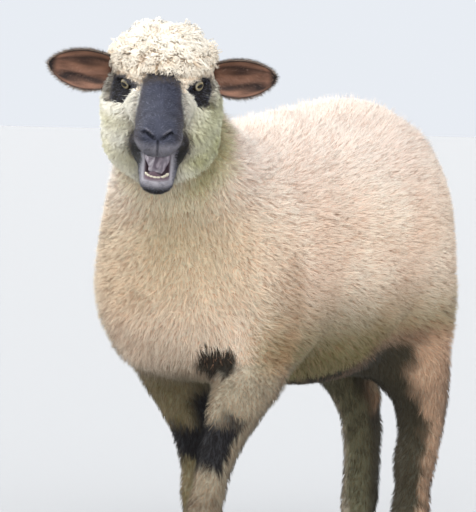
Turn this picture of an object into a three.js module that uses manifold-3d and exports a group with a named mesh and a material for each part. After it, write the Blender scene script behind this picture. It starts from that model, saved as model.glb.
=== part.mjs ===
// A Down-type sheep, life size, standing in mid stride with its head turned to its left and its mouth open.
// Millimetres, +Z up. The animal faces -Y and its left side is +X. The solids reach out to the tips of the
// fleece. The body is one signed-distance field, parted with thin cuts into trunk, neck, head, legs and tail.
import * as THREE from "three";
import { mergeVertices } from "three/addons/utils/BufferGeometryUtils.js";
import Module from "manifold-3d";

const wasm = await Module();
wasm.setup();

// ---- Driving sizes ------------------------------------------------------------------------------

const GAP = 0.3; // clearance between neighbouring solids
const WITHERS = 700; // height of the fleece over the shoulders
const BARREL_WIDTH = 384; // across the belly, fleece included
const CHEST_WIDTH = 330; // across the shoulders, fleece included
const CREASE = 34; // depth to which the fleece fills a crease between neck, head and trunk
const MUSCLE = 60; // the same between the masses of the trunk

const NECK_BASE = [0, -262, 545];
const NECK_TOP = [34, -390, 690];
const NECK_RADII = [138, 71];
const NECK_SHARE = 0.4; // of the neck's axis that stays with the trunk
const HEAD_SHARE = 0.95; // of the neck's axis where the head begins

const HEAD_AT = [71, -470, 750]; // midway between the eyes
const HEAD_TURN = 31; // degrees the head looks to the animal's left
const HEAD_DROP = 17; // degrees the palate slopes below level
const HEAD_ROLL = 3; // degrees the chin leans to the animal's right

// In the head's own frame: -Y out of the nose, +X to the animal's left.
const EYE_AT = [44, 5, 0]; // left eye; the right one mirrors it
const EYE_RADIUS = 14.5;
const EAR_ROOT = [60, 40, 6]; // left ear; the right one mirrors it
const EAR_TIP = [165, 22, 22];
const EAR_DROOP = { left: 8, right: 0 }; // how far each tip sinks
const EAR_WIDTH = 64; // across the leaf
const EAR_THICKNESS = 5;
const EAR_CUP = 13; // depth of the hollow
const INCISORS = 8;
const INCISOR_SIZE = [3.1, 2.2, 9]; // half width, half thickness and half height of a crown
const INCISOR_ARCH = [17, 22]; // half width and depth of the row
const INCISOR_AT = [0, -103, -104]; // middle of the row

const HOOF_HEIGHT = 36; // at the toe
const HOOF_LENGTH = 56; // along the sole
const HOOF_AHEAD = 8; // from the pastern forward to the middle of the sole
const CLAW_WIDTH = 25;
const CLAW_SLOPE = 0.2; // drop of the coronet from toe to heel

// Each leg from elbow or stifle to pastern: joints as [x, y, z, woolly radius].
const LEGS = {
  foreleg_left: [
    [100, -215, 400, 64],
    [110, -290, 325, 50],
    [105, -322, 285, 41],
    [86, -345, 214, 29],
    [80, -372, 130, 27],
    [77, -390, 64, 26],
    [76, -398, 42, 26],
  ],
  foreleg_right: [
    [-86, -208, 400, 66],
    [-78, -196, 315, 51],
    [-67, -184, 268, 40],
    [-58, -170, 210, 30],
    [-60, -158, 130, 28],
    [-61, -152, 64, 27],
    [-61, -160, 42, 26],
  ],
  hindleg_left: [
    [100, 188, 400, 80],
    [106, 210, 300, 54],
    [103, 236, 245, 41],
    [94, 252, 200, 36],
    [87, 246, 140, 33],
    [84, 238, 64, 30],
    [84, 228, 42, 28],
  ],
  hindleg_right: [
    [-90, 262, 400, 80],
    [-80, 304, 300, 52],
    [-70, 342, 228, 37],
    [-77, 370, 172, 32],
    [-77, 368, 120, 30],
    [-76, 362, 64, 29],
    [-75, 350, 42, 28],
  ],
};
const LEG_CUT = { fore: 344, hind: 338 }; // height at which each pair of legs leaves the trunk
const LEG_ZONE = 24; // how far a leg's own zone reaches into the fleece around it

// The tail hangs against the rump: joints as [x, y, z, woolly radius].
const TAIL = [
  [0, 306, 645, 34],
  [0, 346, 595, 36],
  [0, 360, 505, 38],
  [0, 352, 425, 30],
];

// Mesh spacing of each part, across and up.
const CELL = {
  trunk: [45, 45],
  head: [14.8, 14.8],
  jaw: [12.5, 12.5],
  tongue: [11, 11],
  leg: [21, 35],
  tail: [28, 38],
};

// Colours and roughness of the coat and the bare parts.
const LOOK = {
  fleece: [0xd8c4a8, 0.95],
  face: [0xe6dcc4, 0.95],
  leg: [0x6b5848, 0.95],
  tail: [0xb09a80, 0.95],
  skin: [0x35302f, 0.7],
  tongue: [0x8d7a7c, 0.5],
  ear: [0x4a3226, 0.85],
  eye: [0x6b5a3a, 0.15],
  horn: [0x2a2522, 0.5],
};

// ---- Fields: signed distances in millimetres, negative inside -----------------------------------

const rad = THREE.MathUtils.degToRad;

// Euler turn in degrees about X, then Y, then Z, as a matrix with a position.
function frame(at, turn = [0, 0, 0]) {
  const euler = new THREE.Euler(rad(turn[0]), rad(turn[1]), rad(turn[2]), "ZYX");
  return new THREE.Matrix4().makeRotationFromEuler(euler).setPosition(...at);
}

// A field carried to another place by a rigid matrix.
function placed(field, matrix) {
  const e = matrix.clone().invert().elements;
  return (x, y, z) =>
    field(
      e[0] * x + e[4] * y + e[8] * z + e[12],
      e[1] * x + e[5] * y + e[9] * z + e[13],
      e[2] * x + e[6] * y + e[10] * z + e[14],
    );
}

// An egg of three radii, turned in degrees.
function egg(at, [a, b, c], turn) {
  const atOrigin = (x, y, z) => {
    const k = Math.hypot(x / a, y / b, z / c);
    const slope = Math.hypot(x / (a * a), y / (b * b), z / (c * c));
    return slope > 0 ? (k * (k - 1)) / slope : -Math.min(a, b, c);
  };
  return placed(atOrigin, frame(at, turn));
}

// A rounded cone between two points. Its width across X is `flat` times its radius.
function limb([ax, ay, az], [bx, by, bz], rA, rB, flat = 1) {
  const dx = (bx - ax) / flat;
  const dy = by - ay;
  const dz = bz - az;
  const length2 = dx * dx + dy * dy + dz * dz;
  const taper = rA - rB;
  const side2 = length2 - taper * taper;
  return (x, y, z) => {
    const px = (x - ax) / flat;
    const py = y - ay;
    const pz = z - az;
    const along = px * dx + py * dy + pz * dz;
    const past = along - length2;
    const across2 =
      (px * length2 - dx * along) ** 2 + (py * length2 - dy * along) ** 2 + (pz * length2 - dz * along) ** 2;
    const along2 = along * along * length2;
    const past2 = past * past * length2;
    const k = Math.sign(taper) * taper * taper * across2;
    const scale = Math.min(1, flat);
    if (Math.sign(past) * side2 * past2 > k) return (Math.sqrt(across2 + past2) / length2 - rB) * scale;
    if (Math.sign(along) * side2 * along2 < k) return (Math.sqrt(across2 + along2) / length2 - rA) * scale;
    return ((Math.sqrt((across2 * side2) / length2) + along * taper) / length2 - rA) * scale;
  };
}

// A chain of rounded cones through joints, each joint given as [x, y, z, radius].
function chain(joints, soft, flat = 1) {
  const bones = joints.slice(1).map((to, i) => {
    const from = joints[i];
    return limb(from.slice(0, 3), to.slice(0, 3), from[3], to[3], flat);
  });
  return join(soft, ...bones);
}

// Fields joined, each crease filled to a depth of about `soft`.
function join(soft, ...fields) {
  return (x, y, z) => {
    let d = fields[0](x, y, z);
    for (let i = 1; i < fields.length; i++) {
      const e = fields[i](x, y, z);
      const h = Math.max(soft - Math.abs(d - e), 0) / soft;
      d = Math.min(d, e) - (h * h * soft) / 4;
    }
    return d;
  };
}

// A field with others carved out of it, the rims rounded by `soft`.
function carve(soft, field, ...hollows) {
  return (x, y, z) => {
    let d = field(x, y, z);
    for (const hollow of hollows) {
      const e = -hollow(x, y, z);
      const h = Math.max(soft - Math.abs(d - e), 0) / soft;
      d = Math.max(d, e) + (h * h * soft) / 4;
    }
    return d;
  };
}

// ---- From fields to solids ----------------------------------------------------------------------

const CORNERS = [0, 1, 2, 3, 4, 5, 6, 7].map((i) => [i & 1, (i >> 1) & 1, (i >> 2) & 1]);
const RIM = 0.08; // share of a cell that its vertex keeps from each wall
const apart = (a, b) => a.filter((v, k) => v !== b[k]).length;
const EDGES = CORNERS.flatMap((a, i) =>
  CORNERS.map((b, j) => [i, j]).filter(([, j]) => j > i && apart(a, CORNERS[j]) === 1),
);

// The surface where a field is `grow`, one vertex for each cell it crosses, set out by a further `clear`.
function netOf(field, [low, high], [across, up], grow = 0, clear = 0) {
  const cell = [across, across, up];
  const [nx, ny, nz] = low.map((v, k) => Math.ceil((high[k] - v) / cell[k]) + 1);
  const index = (i, j, k) => i + nx * (j + ny * k);
  const at = (i, j, k) => [low[0] + i * cell[0], low[1] + j * cell[1], low[2] + k * cell[2]];
  const value = new Float64Array(nx * ny * nz);
  for (let k = 0; k < nz; k++)
    for (let j = 0; j < ny; j++)
      for (let i = 0; i < nx; i++) {
        const rim = i === 0 || j === 0 || k === 0 || i === nx - 1 || j === ny - 1 || k === nz - 1;
        value[index(i, j, k)] = rim ? across : field(...at(i, j, k)) - grow;
      }

  const vertexOf = new Map();
  const positions = [];
  for (let k = 0; k < nz - 1; k++)
    for (let j = 0; j < ny - 1; j++)
      for (let i = 0; i < nx - 1; i++) {
        const v = CORNERS.map(([a, b, c]) => value[index(i + a, j + b, k + c)]);
        const crossed = EDGES.filter(([a, b]) => v[a] < 0 !== (v[b] < 0));
        if (!crossed.length) continue;
        const mean = [0, 0, 0];
        for (const [a, b] of crossed) {
          const t = v[a] / (v[a] - v[b]);
          for (let n = 0; n < 3; n++)
            mean[n] += (CORNERS[a][n] + (CORNERS[b][n] - CORNERS[a][n]) * t) / crossed.length;
        }
        const corner = at(i, j, k);
        const start = corner.map((c, n) => c + mean[n] * cell[n]);
        const found = onto(field, grow, start).map((p, n) =>
          THREE.MathUtils.clamp(p, corner[n] + RIM * cell[n], corner[n] + (1 - RIM) * cell[n]),
        );
        const slope = new THREE.Vector3(...slopeOf(field, found)).setLength(clear);
        vertexOf.set(index(i, j, k), positions.length / 3);
        positions.push(found[0] + slope.x, found[1] + slope.y, found[2] + slope.z);
      }

  const faces = [];
  const quad = (a, b, c, d, flip) => faces.push(...(flip ? [a, c, b, a, d, c] : [a, b, c, a, c, d]));
  for (let k = 0; k < nz - 1; k++)
    for (let j = 0; j < ny - 1; j++)
      for (let i = 0; i < nx - 1; i++) {
        const inside = value[index(i, j, k)] < 0;
        const cellAt = (a, b, c) => vertexOf.get(index(i - a, j - b, k - c));
        if (inside !== (value[index(i + 1, j, k)] < 0))
          quad(cellAt(0, 1, 1), cellAt(0, 0, 1), cellAt(0, 0, 0), cellAt(0, 1, 0), !inside);
        if (inside !== (value[index(i, j + 1, k)] < 0))
          quad(cellAt(1, 0, 1), cellAt(1, 0, 0), cellAt(0, 0, 0), cellAt(0, 0, 1), !inside);
        if (inside !== (value[index(i, j, k + 1)] < 0))
          quad(cellAt(1, 1, 0), cellAt(0, 1, 0), cellAt(0, 0, 0), cellAt(1, 0, 0), !inside);
      }
  const vertProperties = new Float32Array(positions);
  return new wasm.Manifold(new wasm.Mesh({ numProp: 3, vertProperties, triVerts: new Uint32Array(faces) }));
}

// The slope of a field at a point.
function slopeOf(field, [x, y, z]) {
  const step = 0.5;
  return [
    (field(x + step, y, z) - field(x - step, y, z)) / (2 * step),
    (field(x, y + step, z) - field(x, y - step, z)) / (2 * step),
    (field(x, y, z + step) - field(x, y, z - step)) / (2 * step),
  ];
}

// A point moved along the slope on to the surface where the field is `grow`.
function onto(field, grow, start) {
  let point = start;
  for (let n = 0; n < 3; n++) {
    const slope = slopeOf(field, point);
    const slope2 = Math.max(slope[0] ** 2 + slope[1] ** 2 + slope[2] ** 2, 0.1);
    const move = (field(...point) - grow) / slope2;
    point = point.map((p, k) => p - slope[k] * move);
  }
  return point;
}

// The closed solid of a three.js geometry.
function solidOf(geometry, matrix = new THREE.Matrix4()) {
  const bare = (geometry.index ? geometry.toNonIndexed() : geometry.clone()).applyMatrix4(matrix);
  for (const name of Object.keys(bare.attributes)) if (name !== "position") bare.deleteAttribute(name);
  const merged = mergeVertices(bare, 1e-3);
  return new wasm.Manifold(
    new wasm.Mesh({
      numProp: 3,
      vertProperties: merged.attributes.position.array,
      triVerts: new Uint32Array(merged.index.array),
    }),
  );
}

// A box that holds everything on the side of a plane that its normal points to, from `inset` past the plane.
function beyond(point, normal, inset = 0) {
  const size = 2000;
  const n = new THREE.Vector3(...normal).normalize();
  const turn = new THREE.Quaternion().setFromUnitVectors(new THREE.Vector3(0, 0, 1), n);
  const centre = new THREE.Vector3(...point).addScaledVector(n, size / 2 + inset);
  const place = new THREE.Matrix4().compose(centre, turn, new THREE.Vector3(1, 1, 1));
  return solidOf(new THREE.BoxGeometry(size, size, size), place);
}

// The largest body of a solid, without the crumbs that a cut may leave.
function largest(solid) {
  return solid.decompose().reduce((a, b) => (b.volume() > a.volume() ? b : a));
}

// The lowest and highest corner of a box round points, `margin` wider on every side.
function around(points, margin) {
  const low = [0, 1, 2].map((k) => Math.min(...points.map((p) => p[k])) - margin);
  const high = [0, 1, 2].map((k) => Math.max(...points.map((p) => p[k])) + margin);
  return [low, high];
}

// A closed skin over rings of equal counts: walls between neighbours and a fan over each end.
function loft(rings) {
  const n = rings[0].length;
  const centre = (ring) => [0, 1, 2].map((k) => ring.reduce((sum, p) => sum + p[k], 0) / n);
  const points = [...rings.flat(), centre(rings[0]), centre(rings.at(-1))];
  const faces = [];
  for (let r = 0; r < rings.length - 1; r++)
    for (let i = 0; i < n; i++) {
      const a = r * n + i;
      const b = r * n + ((i + 1) % n);
      faces.push(a, b, b + n, a, b + n, a + n);
    }
  const last = (rings.length - 1) * n;
  for (let i = 0; i < n; i++) {
    const j = (i + 1) % n;
    faces.push(j, i, points.length - 2, last + i, last + j, points.length - 1);
  }
  const geometry = new THREE.BufferGeometry();
  geometry.setAttribute("position", new THREE.Float32BufferAttribute(points.flat(), 3));
  geometry.setIndex(faces);
  return geometry;
}

// ---- The body as fields -------------------------------------------------------------------------

const both = (make) => [1, -1].map(make);
const skull = frame(HEAD_AT, [HEAD_DROP, HEAD_ROLL, HEAD_TURN]);

const torso = join(
  MUSCLE,
  egg([0, -90, WITHERS - 201], [CHEST_WIDTH / 2 + 8, 262, 187]), // ribs
  egg([0, 45, WITHERS - 216], [BARREL_WIDTH / 2, 258, 206]), // barrel
  egg([0, 172, WITHERS - 160], [BARREL_WIDTH / 2 - 30, 168, 172]), // rump
  egg([0, -262, WITHERS - 255], [CHEST_WIDTH / 2 - 14, 140, 140], [-10, 0, 0]), // chest
  ...both((side) => egg([side * 88, -212, WITHERS - 240], [72, 98, 145], [-12, 0, 0])), // shoulders
  ...both((side) => egg([side * 84, 196, WITHERS - 288], [75, 102, 158], [8, 0, 0])), // thighs
);
const neck = limb(NECK_BASE, NECK_TOP, ...NECK_RADII);
const legFields = Object.fromEntries(Object.entries(LEGS).map(([name, joints]) => [name, chain(joints, 18)]));
const tail = chain(TAIL, 16);

// The head's fields are in the head's own frame.
const cranium = join(
  18,
  egg([0, 40, 12], [56, 66, 50]), // braincase
  limb([0, -8, -14], [0, -100, -33], 37, 26, 1.12), // bridge of the nose
  limb([0, -10, -36], [0, -104, -43], 27, 21, 1.15), // palate
  egg([0, -117, -39], [32, 24, 27]), // nose and upper lip
  ...both((side) => limb([side * 36, 10, -6], [side * 25, -46, -24], 19, 12)), // cheekbones
  ...both((side) => limb([side * 21, -72, -63], [side * 26, -20, -77], 8, 18)), // corners of the mouth
);
const facewool = join(
  24,
  egg([0, 40, 23], [83, 70, 34]), // crown
  egg([0, 45, 40], [56, 55, 37]), // topknot
  egg([0, 6, 38], [60, 38, 24], [-10, 0, 0]), // fringe
  ...both((side) => egg([side * 46, 26, -44], [42, 66, 72], [12, 0, 0])), // cheeks
  egg([0, 46, -56], [60, 56, 68]), // throat
);
const eyeHollows = both((side) => egg([side * 64, -16, -4], [22, 30, 20], [0, 0, side * 24]));
const mouthHollow = limb([0, -124, -86], [0, -58, -78], 15, 8, 1.3);
const head = join(
  CREASE,
  neck,
  placed(carve(9, join(12, cranium, facewool), ...eyeHollows, mouthHollow), skull),
);
const jawBone = join(
  14,
  limb([0, -95, -114], [0, -18, -91], 17, 27, 1.38), // chin and lower lip
  limb([0, -18, -91], [0, 40, -72], 27, 32, 1.3), // bars of the jaw
);
const mouthFloor = limb([0, -94, -98], [0, -50, -80], 10, 12, 1.5);
const jaw = placed(carve(5, jawBone, mouthFloor), skull);
const tongue = placed(chain([[0, -86, -100, 8], [0, -66, -88, 10], [0, -44, -79, 12]], 8, 1.5), skull);
const whole = join(30, join(CREASE, torso, head), ...Object.values(legFields));

// ---- Parts --------------------------------------------------------------------------------------

const neckAxis = NECK_TOP.map((v, k) => v - NECK_BASE[k]);
const onNeck = (share) => NECK_BASE.map((v, k) => v + neckAxis[k] * share);
const trunkBox = [[-240, -510, 200], [240, 440, WITHERS + 100]];
const headBox = around([HEAD_AT], 230);
const zones = Object.entries(LEGS).map(([name, joints]) => {
  const box = around(joints, 128);
  const top = LEG_CUT[name.slice(0, 4)];
  const zone = (clear) =>
    netOf(legFields[name], box, CELL.leg, LEG_ZONE, clear).intersect(beyond([0, 0, top + clear], [0, 0, -1]));
  return { name, joints, box, zone };
});

// Trunk and neck come from one mesh, so that their faces line up across the cut.
const wholeSolid = netOf(whole, trunkBox, CELL.trunk);

function makeTrunk() {
  const trunk = wholeSolid.subtract(beyond(onNeck(NECK_SHARE), neckAxis));
  return zones.reduce((rest, { zone }) => rest.subtract(zone(GAP)), trunk);
}

function makeNeck() {
  const back = neckAxis.map((v) => -v);
  return wholeSolid
    .intersect(beyond(onNeck(NECK_SHARE), neckAxis, GAP))
    .intersect(beyond(onNeck(HEAD_SHARE), back, GAP));
}

function makeTail() {
  return netOf(tail, around(TAIL, 60), CELL.tail).subtract(netOf(whole, trunkBox, CELL.trunk, 0, GAP));
}

// A leg ends on a slope that meets the coronets of its claws.
function makeLeg({ joints, box, zone }) {
  const [x, y] = joints.at(-1);
  const coronet = [x, y - HOOF_AHEAD - HOOF_LENGTH / 2, HOOF_HEIGHT + GAP];
  return netOf(whole, box, CELL.leg)
    .intersect(zone(0))
    .intersect(beyond(coronet, [0, CLAW_SLOPE, 1]));
}

// One claw of a hoof: a loft from a flat sole up to a sloping coronet, narrowest at the toe.
function makeClaw(x, y, side) {
  const steps = 10;
  const ring = (height, share, shift) =>
    Array.from({ length: steps }, (_, i) => {
      const a = (i / steps) * 2 * Math.PI;
      const toe = Math.max(0, -Math.sin(a));
      const across = Math.cos(a) * (CLAW_WIDTH / 2) * (1 - 0.3 * toe * toe) * share;
      const along = shift + Math.sin(a) * (HOOF_LENGTH / 2) * share;
      const drop = height > 0 ? (along + HOOF_LENGTH / 2) * CLAW_SLOPE : 0;
      return [x + side * (CLAW_WIDTH / 2 + 1) + across, y + along, height - drop];
    });
  return solidOf(loft([ring(0, 1, 0), ring(HOOF_HEIGHT * 0.5, 0.93, 5), ring(HOOF_HEIGHT, 0.8, 9)]));
}

// An ear: a leaf-shaped shell, cupped forward, along an axis from root to tip.
function makeEar(side) {
  const stations = 7;
  const steps = 5;
  const droop = side > 0 ? EAR_DROOP.left : EAR_DROOP.right;
  const root = new THREE.Vector3(side * EAR_ROOT[0], EAR_ROOT[1], EAR_ROOT[2]);
  const tip = new THREE.Vector3(side * EAR_TIP[0], EAR_TIP[1], EAR_TIP[2] - droop);
  const out = tip.clone().sub(root);
  const forward = new THREE.Vector3(0, -1, -0.12).projectOnPlane(out.clone().normalize()).normalize();
  const across = new THREE.Vector3().crossVectors(out, forward).multiplyScalar(side).normalize();
  const rings = [];
  for (let s = 0; s <= stations; s++) {
    const t = s / stations;
    const leaf = Math.max(0.1, Math.sin(Math.PI * (0.16 + 0.84 * t) ** 1.15) ** 0.75);
    const cup = EAR_CUP * (1.25 - 0.9 * t) * leaf;
    const centre = root.clone().addScaledVector(out, t);
    const at = (u, v) =>
      centre
        .clone()
        .addScaledVector(across, (u * leaf * EAR_WIDTH) / 2)
        .addScaledVector(forward, cup * u * u + v)
        .applyMatrix4(skull)
        .toArray();
    const span = Array.from({ length: steps + 1 }, (_, i) => 1 - (2 * i) / steps);
    const wall = (u) => (EAR_THICKNESS / 2) * (1 - 0.45 * Math.abs(u));
    rings.push([...span.map((u) => at(u, wall(u))), ...span.map((u) => at(-u, -wall(u)))]);
  }
  return solidOf(loft(side < 0 ? rings : rings.map((ring) => ring.reverse())));
}

// An incisor: a crown on the arch of the jaw, leaning forward.
function makeIncisor(n) {
  const spread = 1.05; // radians from the middle of the row to its end
  const lean = 28; // degrees
  const a = ((2 * (n + 0.5)) / INCISORS - 1) * spread;
  const x = INCISOR_AT[0] + (Math.sin(a) / Math.sin(spread)) * INCISOR_ARCH[0];
  const y = INCISOR_AT[1] + (1 - Math.cos(a)) * INCISOR_ARCH[1];
  const place = frame([x, y, INCISOR_AT[2]], [lean, 0, THREE.MathUtils.radToDeg(a)]).premultiply(skull);
  return solidOf(new THREE.SphereGeometry(1, 6, 5).scale(...INCISOR_SIZE), place);
}

function makeEye(side, grow) {
  const at = new THREE.Vector3(side * EYE_AT[0], EYE_AT[1], EYE_AT[2]).applyMatrix4(skull);
  return solidOf(new THREE.SphereGeometry(EYE_RADIUS + grow, 12, 8), new THREE.Matrix4().setPosition(at));
}

// The skull with its face wool, open at the sockets.
function makeHead() {
  const cut = netOf(head, headBox, CELL.head).intersect(beyond(onNeck(HEAD_SHARE), neckAxis));
  return both((side) => makeEye(side, GAP)).reduce((rest, eye) => rest.subtract(eye), cut);
}

// What fits against the head gives way to this slightly larger copy of it.
const headRoom = netOf(head, headBox, CELL.head, 0, GAP);

function makeJaw() {
  let solid = netOf(jaw, headBox, CELL.jaw);
  for (let n = 0; n < INCISORS; n++) solid = solid.add(makeIncisor(n));
  return solid.subtract(headRoom);
}

function makeTongue() {
  return netOf(tongue, headBox, CELL.tongue)
    .subtract(netOf(jaw, headBox, CELL.jaw, 0, GAP))
    .subtract(headRoom);
}

// ---- The animal ---------------------------------------------------------------------------------

// The largest body of a solid as a named mesh in a group.
function place(group, name, solid, [color, roughness]) {
  const { numProp, vertProperties, triVerts } = largest(solid).getMesh();
  const position = new Float32Array((vertProperties.length / numProp) * 3);
  for (let i = 0; i < position.length / 3; i++)
    position.set(vertProperties.subarray(i * numProp, i * numProp + 3), i * 3);
  const geometry = new THREE.BufferGeometry();
  geometry.setAttribute("position", new THREE.BufferAttribute(position, 3));
  geometry.setIndex(new THREE.BufferAttribute(triVerts, 1));
  geometry.computeVertexNormals();
  const mesh = new THREE.Mesh(geometry, new THREE.MeshStandardMaterial({ color, roughness, metalness: 0 }));
  mesh.name = name;
  group.add(mesh);
}

const bodyGroup = new THREE.Group();
place(bodyGroup, "trunk", makeTrunk(), LOOK.fleece);
place(bodyGroup, "neck", makeNeck(), LOOK.fleece);
place(bodyGroup, "tail", makeTail(), LOOK.tail);

const legGroup = new THREE.Group();
for (const zone of zones) {
  place(legGroup, zone.name, makeLeg(zone), LOOK.leg);
  const [x, y] = zone.joints.at(-1);
  for (const side of [1, -1]) {
    const which = Math.sign(x) === side ? "outer" : "inner";
    const name = `${zone.name.replace("leg", "hoof")}_${which}`;
    place(legGroup, name, makeClaw(x, y - HOOF_AHEAD, side), LOOK.horn);
  }
}

const headGroup = new THREE.Group();
place(headGroup, "head", makeHead(), LOOK.face);
place(headGroup, "lower_jaw", makeJaw(), LOOK.skin);
place(headGroup, "tongue", makeTongue(), LOOK.tongue);
for (const side of [1, -1]) {
  const hand = side > 0 ? "left" : "right";
  place(headGroup, `eye_${hand}`, makeEye(side, 0), LOOK.eye);
  place(headGroup, `ear_${hand}`, makeEar(side).subtract(headRoom), LOOK.ear);
}

// The origin is on the floor, under the middle of the animal's box.
const model = new THREE.Group();
model.add(bodyGroup, legGroup, headGroup);
const middle = new THREE.Box3().setFromObject(model).getCenter(new THREE.Vector3());
model.position.set(-middle.x, -middle.y, 0);

export default model;
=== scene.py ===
"""A life-size standing sheep with a black face and a short buff fleece, dressed round its solids."""

import logging
import math
from dataclasses import dataclass
from enum import Enum
from functools import cached_property, reduce
from typing import Callable

import bmesh
import bpy
import numpy as np
from mathutils import Matrix, Vector
from mathutils.bvhtree import BVHTree
from mathutils.kdtree import KDTree


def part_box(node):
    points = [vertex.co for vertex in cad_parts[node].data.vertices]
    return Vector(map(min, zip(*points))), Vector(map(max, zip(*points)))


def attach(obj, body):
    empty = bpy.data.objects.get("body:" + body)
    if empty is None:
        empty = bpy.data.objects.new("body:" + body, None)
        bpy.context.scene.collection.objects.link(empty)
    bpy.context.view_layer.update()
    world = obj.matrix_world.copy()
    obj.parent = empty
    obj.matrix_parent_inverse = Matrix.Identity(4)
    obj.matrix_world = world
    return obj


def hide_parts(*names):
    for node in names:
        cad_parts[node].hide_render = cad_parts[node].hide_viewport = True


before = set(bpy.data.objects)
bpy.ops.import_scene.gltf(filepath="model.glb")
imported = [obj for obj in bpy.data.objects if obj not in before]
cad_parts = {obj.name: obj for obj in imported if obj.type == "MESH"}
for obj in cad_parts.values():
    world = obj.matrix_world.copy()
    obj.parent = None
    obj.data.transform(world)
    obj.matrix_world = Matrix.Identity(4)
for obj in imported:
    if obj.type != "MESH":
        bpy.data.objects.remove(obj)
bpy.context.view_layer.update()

log = logging.getLogger("sheep")

MM = 0.001
SEED = 7
ROOT_SUNK = 0.0012
CELLS = 8192
Array = np.ndarray
Field = Callable[[Array], Array]
Pair = tuple[float, float]
Triple = tuple[float, float, float]
Colour = tuple[float, float, float, float]
Row = tuple[float, ...]
Piece = bpy.types.Object
Mesh = bpy.types.Mesh
Material = bpy.types.Material
Value = bpy.types.NodeSocket | float
LEG_NODES = ("foreleg_left", "foreleg_right", "hindleg_left", "hindleg_right")
EYE_NODES = ("eye_left", "eye_right")
FLESH_NODES = ("trunk", "neck", "tail", "head", "lower_jaw") + LEG_NODES


class Side(Enum):
    """A side of the animal, as the sign of its own +X."""

    LEFT = 1
    RIGHT = -1

    @property
    def word(self) -> str:
        """The side's name as the nodes spell it."""
        return self.name.lower()


class Slot(Enum):
    """The record's material slots."""

    FLEECE = "fleece"
    FACE_WOOL = "face_wool"
    TAIL_WOOL = "tail_wool"
    LEG_WOOL = "leg_wool"
    BARE_SKIN = "bare_skin"
    TONGUE = "tongue"
    EAR = "ear"
    EYE = "eye"
    HORN = "horn"


class Region(Enum):
    """The regions of the coat, each with tufts of its own."""

    FLEECE = "fleece"
    LEG = "leg"
    TAIL = "tail"
    CHEEK = "cheek"
    TOPKNOT = "topknot"
    FACE = "face"


# ---- Small tools ----


def tone(code: str) -> Array:
    """Turns a colour written as six hex digits into linear red, green and blue.

    Args:
        code: The colour, such as "d8b890".

    Returns:
        Three linear values from 0 to 1.
    """
    raw = np.array([int(code[i : i + 2], 16) for i in (0, 2, 4)]) / 255
    return np.where(raw <= 0.04045, raw / 12.92, ((raw + 0.055) / 1.055) ** 2.4)


def ramp(value: Array, start: float, end: float) -> Array:
    """Smooth step from 0 at `start` to 1 at `end`, which may be the lower one."""
    t = np.clip((value - start) / (end - start), 0, 1)
    return t * t * (3 - 2 * t)


def bump(value: Array, middle: float, reach: float) -> Array:
    """A smooth hill, 1 at `middle` and 0 from `reach` away on."""
    return ramp(np.abs(value - middle), reach, 0)


def size_of(vectors: Array) -> Array:
    """The length of each row."""
    return np.sqrt(np.einsum("...i,...i->...", vectors, vectors))


def unit(vectors: Array) -> Array:
    """Each row at length 1."""
    return vectors / np.maximum(size_of(vectors), 1e-9)[..., None]


def flattened(vectors: Array, normals: Array) -> Array:
    """Each vector's part along the surface that has these normals, at length 1."""
    return unit(vectors - normals * np.einsum("ij,ij->i", vectors, normals)[:, None])


def mixed(a: Array, b: Array, share: Array) -> Array:
    """Rows of `a` turned into `b` by a share for each row."""
    return a + (b - a) * share[:, None]


def plain(code: str, count: int) -> Array:
    """One colour, written as hex digits, for each of some rows."""
    return np.tile(tone(code), (count, 1))


def layered(colour: Array, *layers: tuple[str, Array]) -> Array:
    """Colours with others laid over them, one after another.

    Args:
        colour: The colour of each row.
        layers: Each layer's colour as hex digits, and its share of each row.

    Returns:
        The colour of each row.
    """
    for code, share in layers:
        colour = mixed(colour, tone(code), share)
    return colour


def peak(value: Array, width: float) -> Array:
    """A round peak, 1 at 0 and fading out over a width to both sides."""
    return np.exp(-((value / width) ** 2))


def first_in_cells(places: Array, size: float) -> Array:
    """The row of the first place in each filled cell of a grid of cubes.

    Args:
        places: The places.
        size: The size of a cell.

    Returns:
        The rows.
    """
    cells = np.floor(places / size).astype(np.int64) + CELLS // 2
    keys = (cells[:, 0] * CELLS + cells[:, 1]) * CELLS + cells[:, 2]
    return np.unique(keys, return_index=True)[1]


def folded(points: Array) -> tuple[Array, Array, Array]:
    """Each place's distance from the middle plane, its y and its z."""
    return np.abs(points[:, 0]), points[:, 1], points[:, 2]


def swell(points: Array, wavelength: float, seed: int) -> Array:
    """Smooth noise from about -1 to 1 that never repeats in view.

    Args:
        points: Places, in metres.
        wavelength: The size of its waves, in metres.
        seed: Which of many such patterns.

    Returns:
        One value for each place.
    """
    rng = np.random.default_rng(seed)
    total = np.zeros(len(points))
    for _ in range(6):
        way = unit(rng.normal(size=(1, 3)))[0] * rng.uniform(0.7, 1.5) * math.tau / wavelength
        total += np.sin(points @ way + rng.uniform(0, math.tau))
    return total / 2.6


def turned(degrees: Triple) -> Array:
    """The matrix of a turn about X, then Y, then Z."""
    x, y, z = (math.radians(a) for a in degrees)
    return np.array(Matrix.Rotation(z, 3, "Z") @ Matrix.Rotation(y, 3, "Y") @ Matrix.Rotation(x, 3, "X"))


# ---- Fields: signed distances in millimetres, negative inside ----


def egg(at: tuple, radii: tuple, turn: tuple = (0, 0, 0)) -> Field:
    """An egg of three radii, turned in degrees.

    Args:
        at: Its middle.
        radii: Its reach along its own axes.
        turn: Degrees about X, Y and Z.

    Returns:
        Its field.
    """
    middle, reach, axes = np.array(at, float), np.array(radii, float), turned(turn)

    def distance(points: Array) -> Array:
        """The egg's distance.

        Args:
            points: Places, in millimetres.

        Returns:
            The distance of each, in millimetres.
        """
        local = (points - middle) @ axes
        k = size_of(local / reach)
        return k * (k - 1) / np.maximum(size_of(local / reach**2), 1e-9)

    return distance


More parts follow.
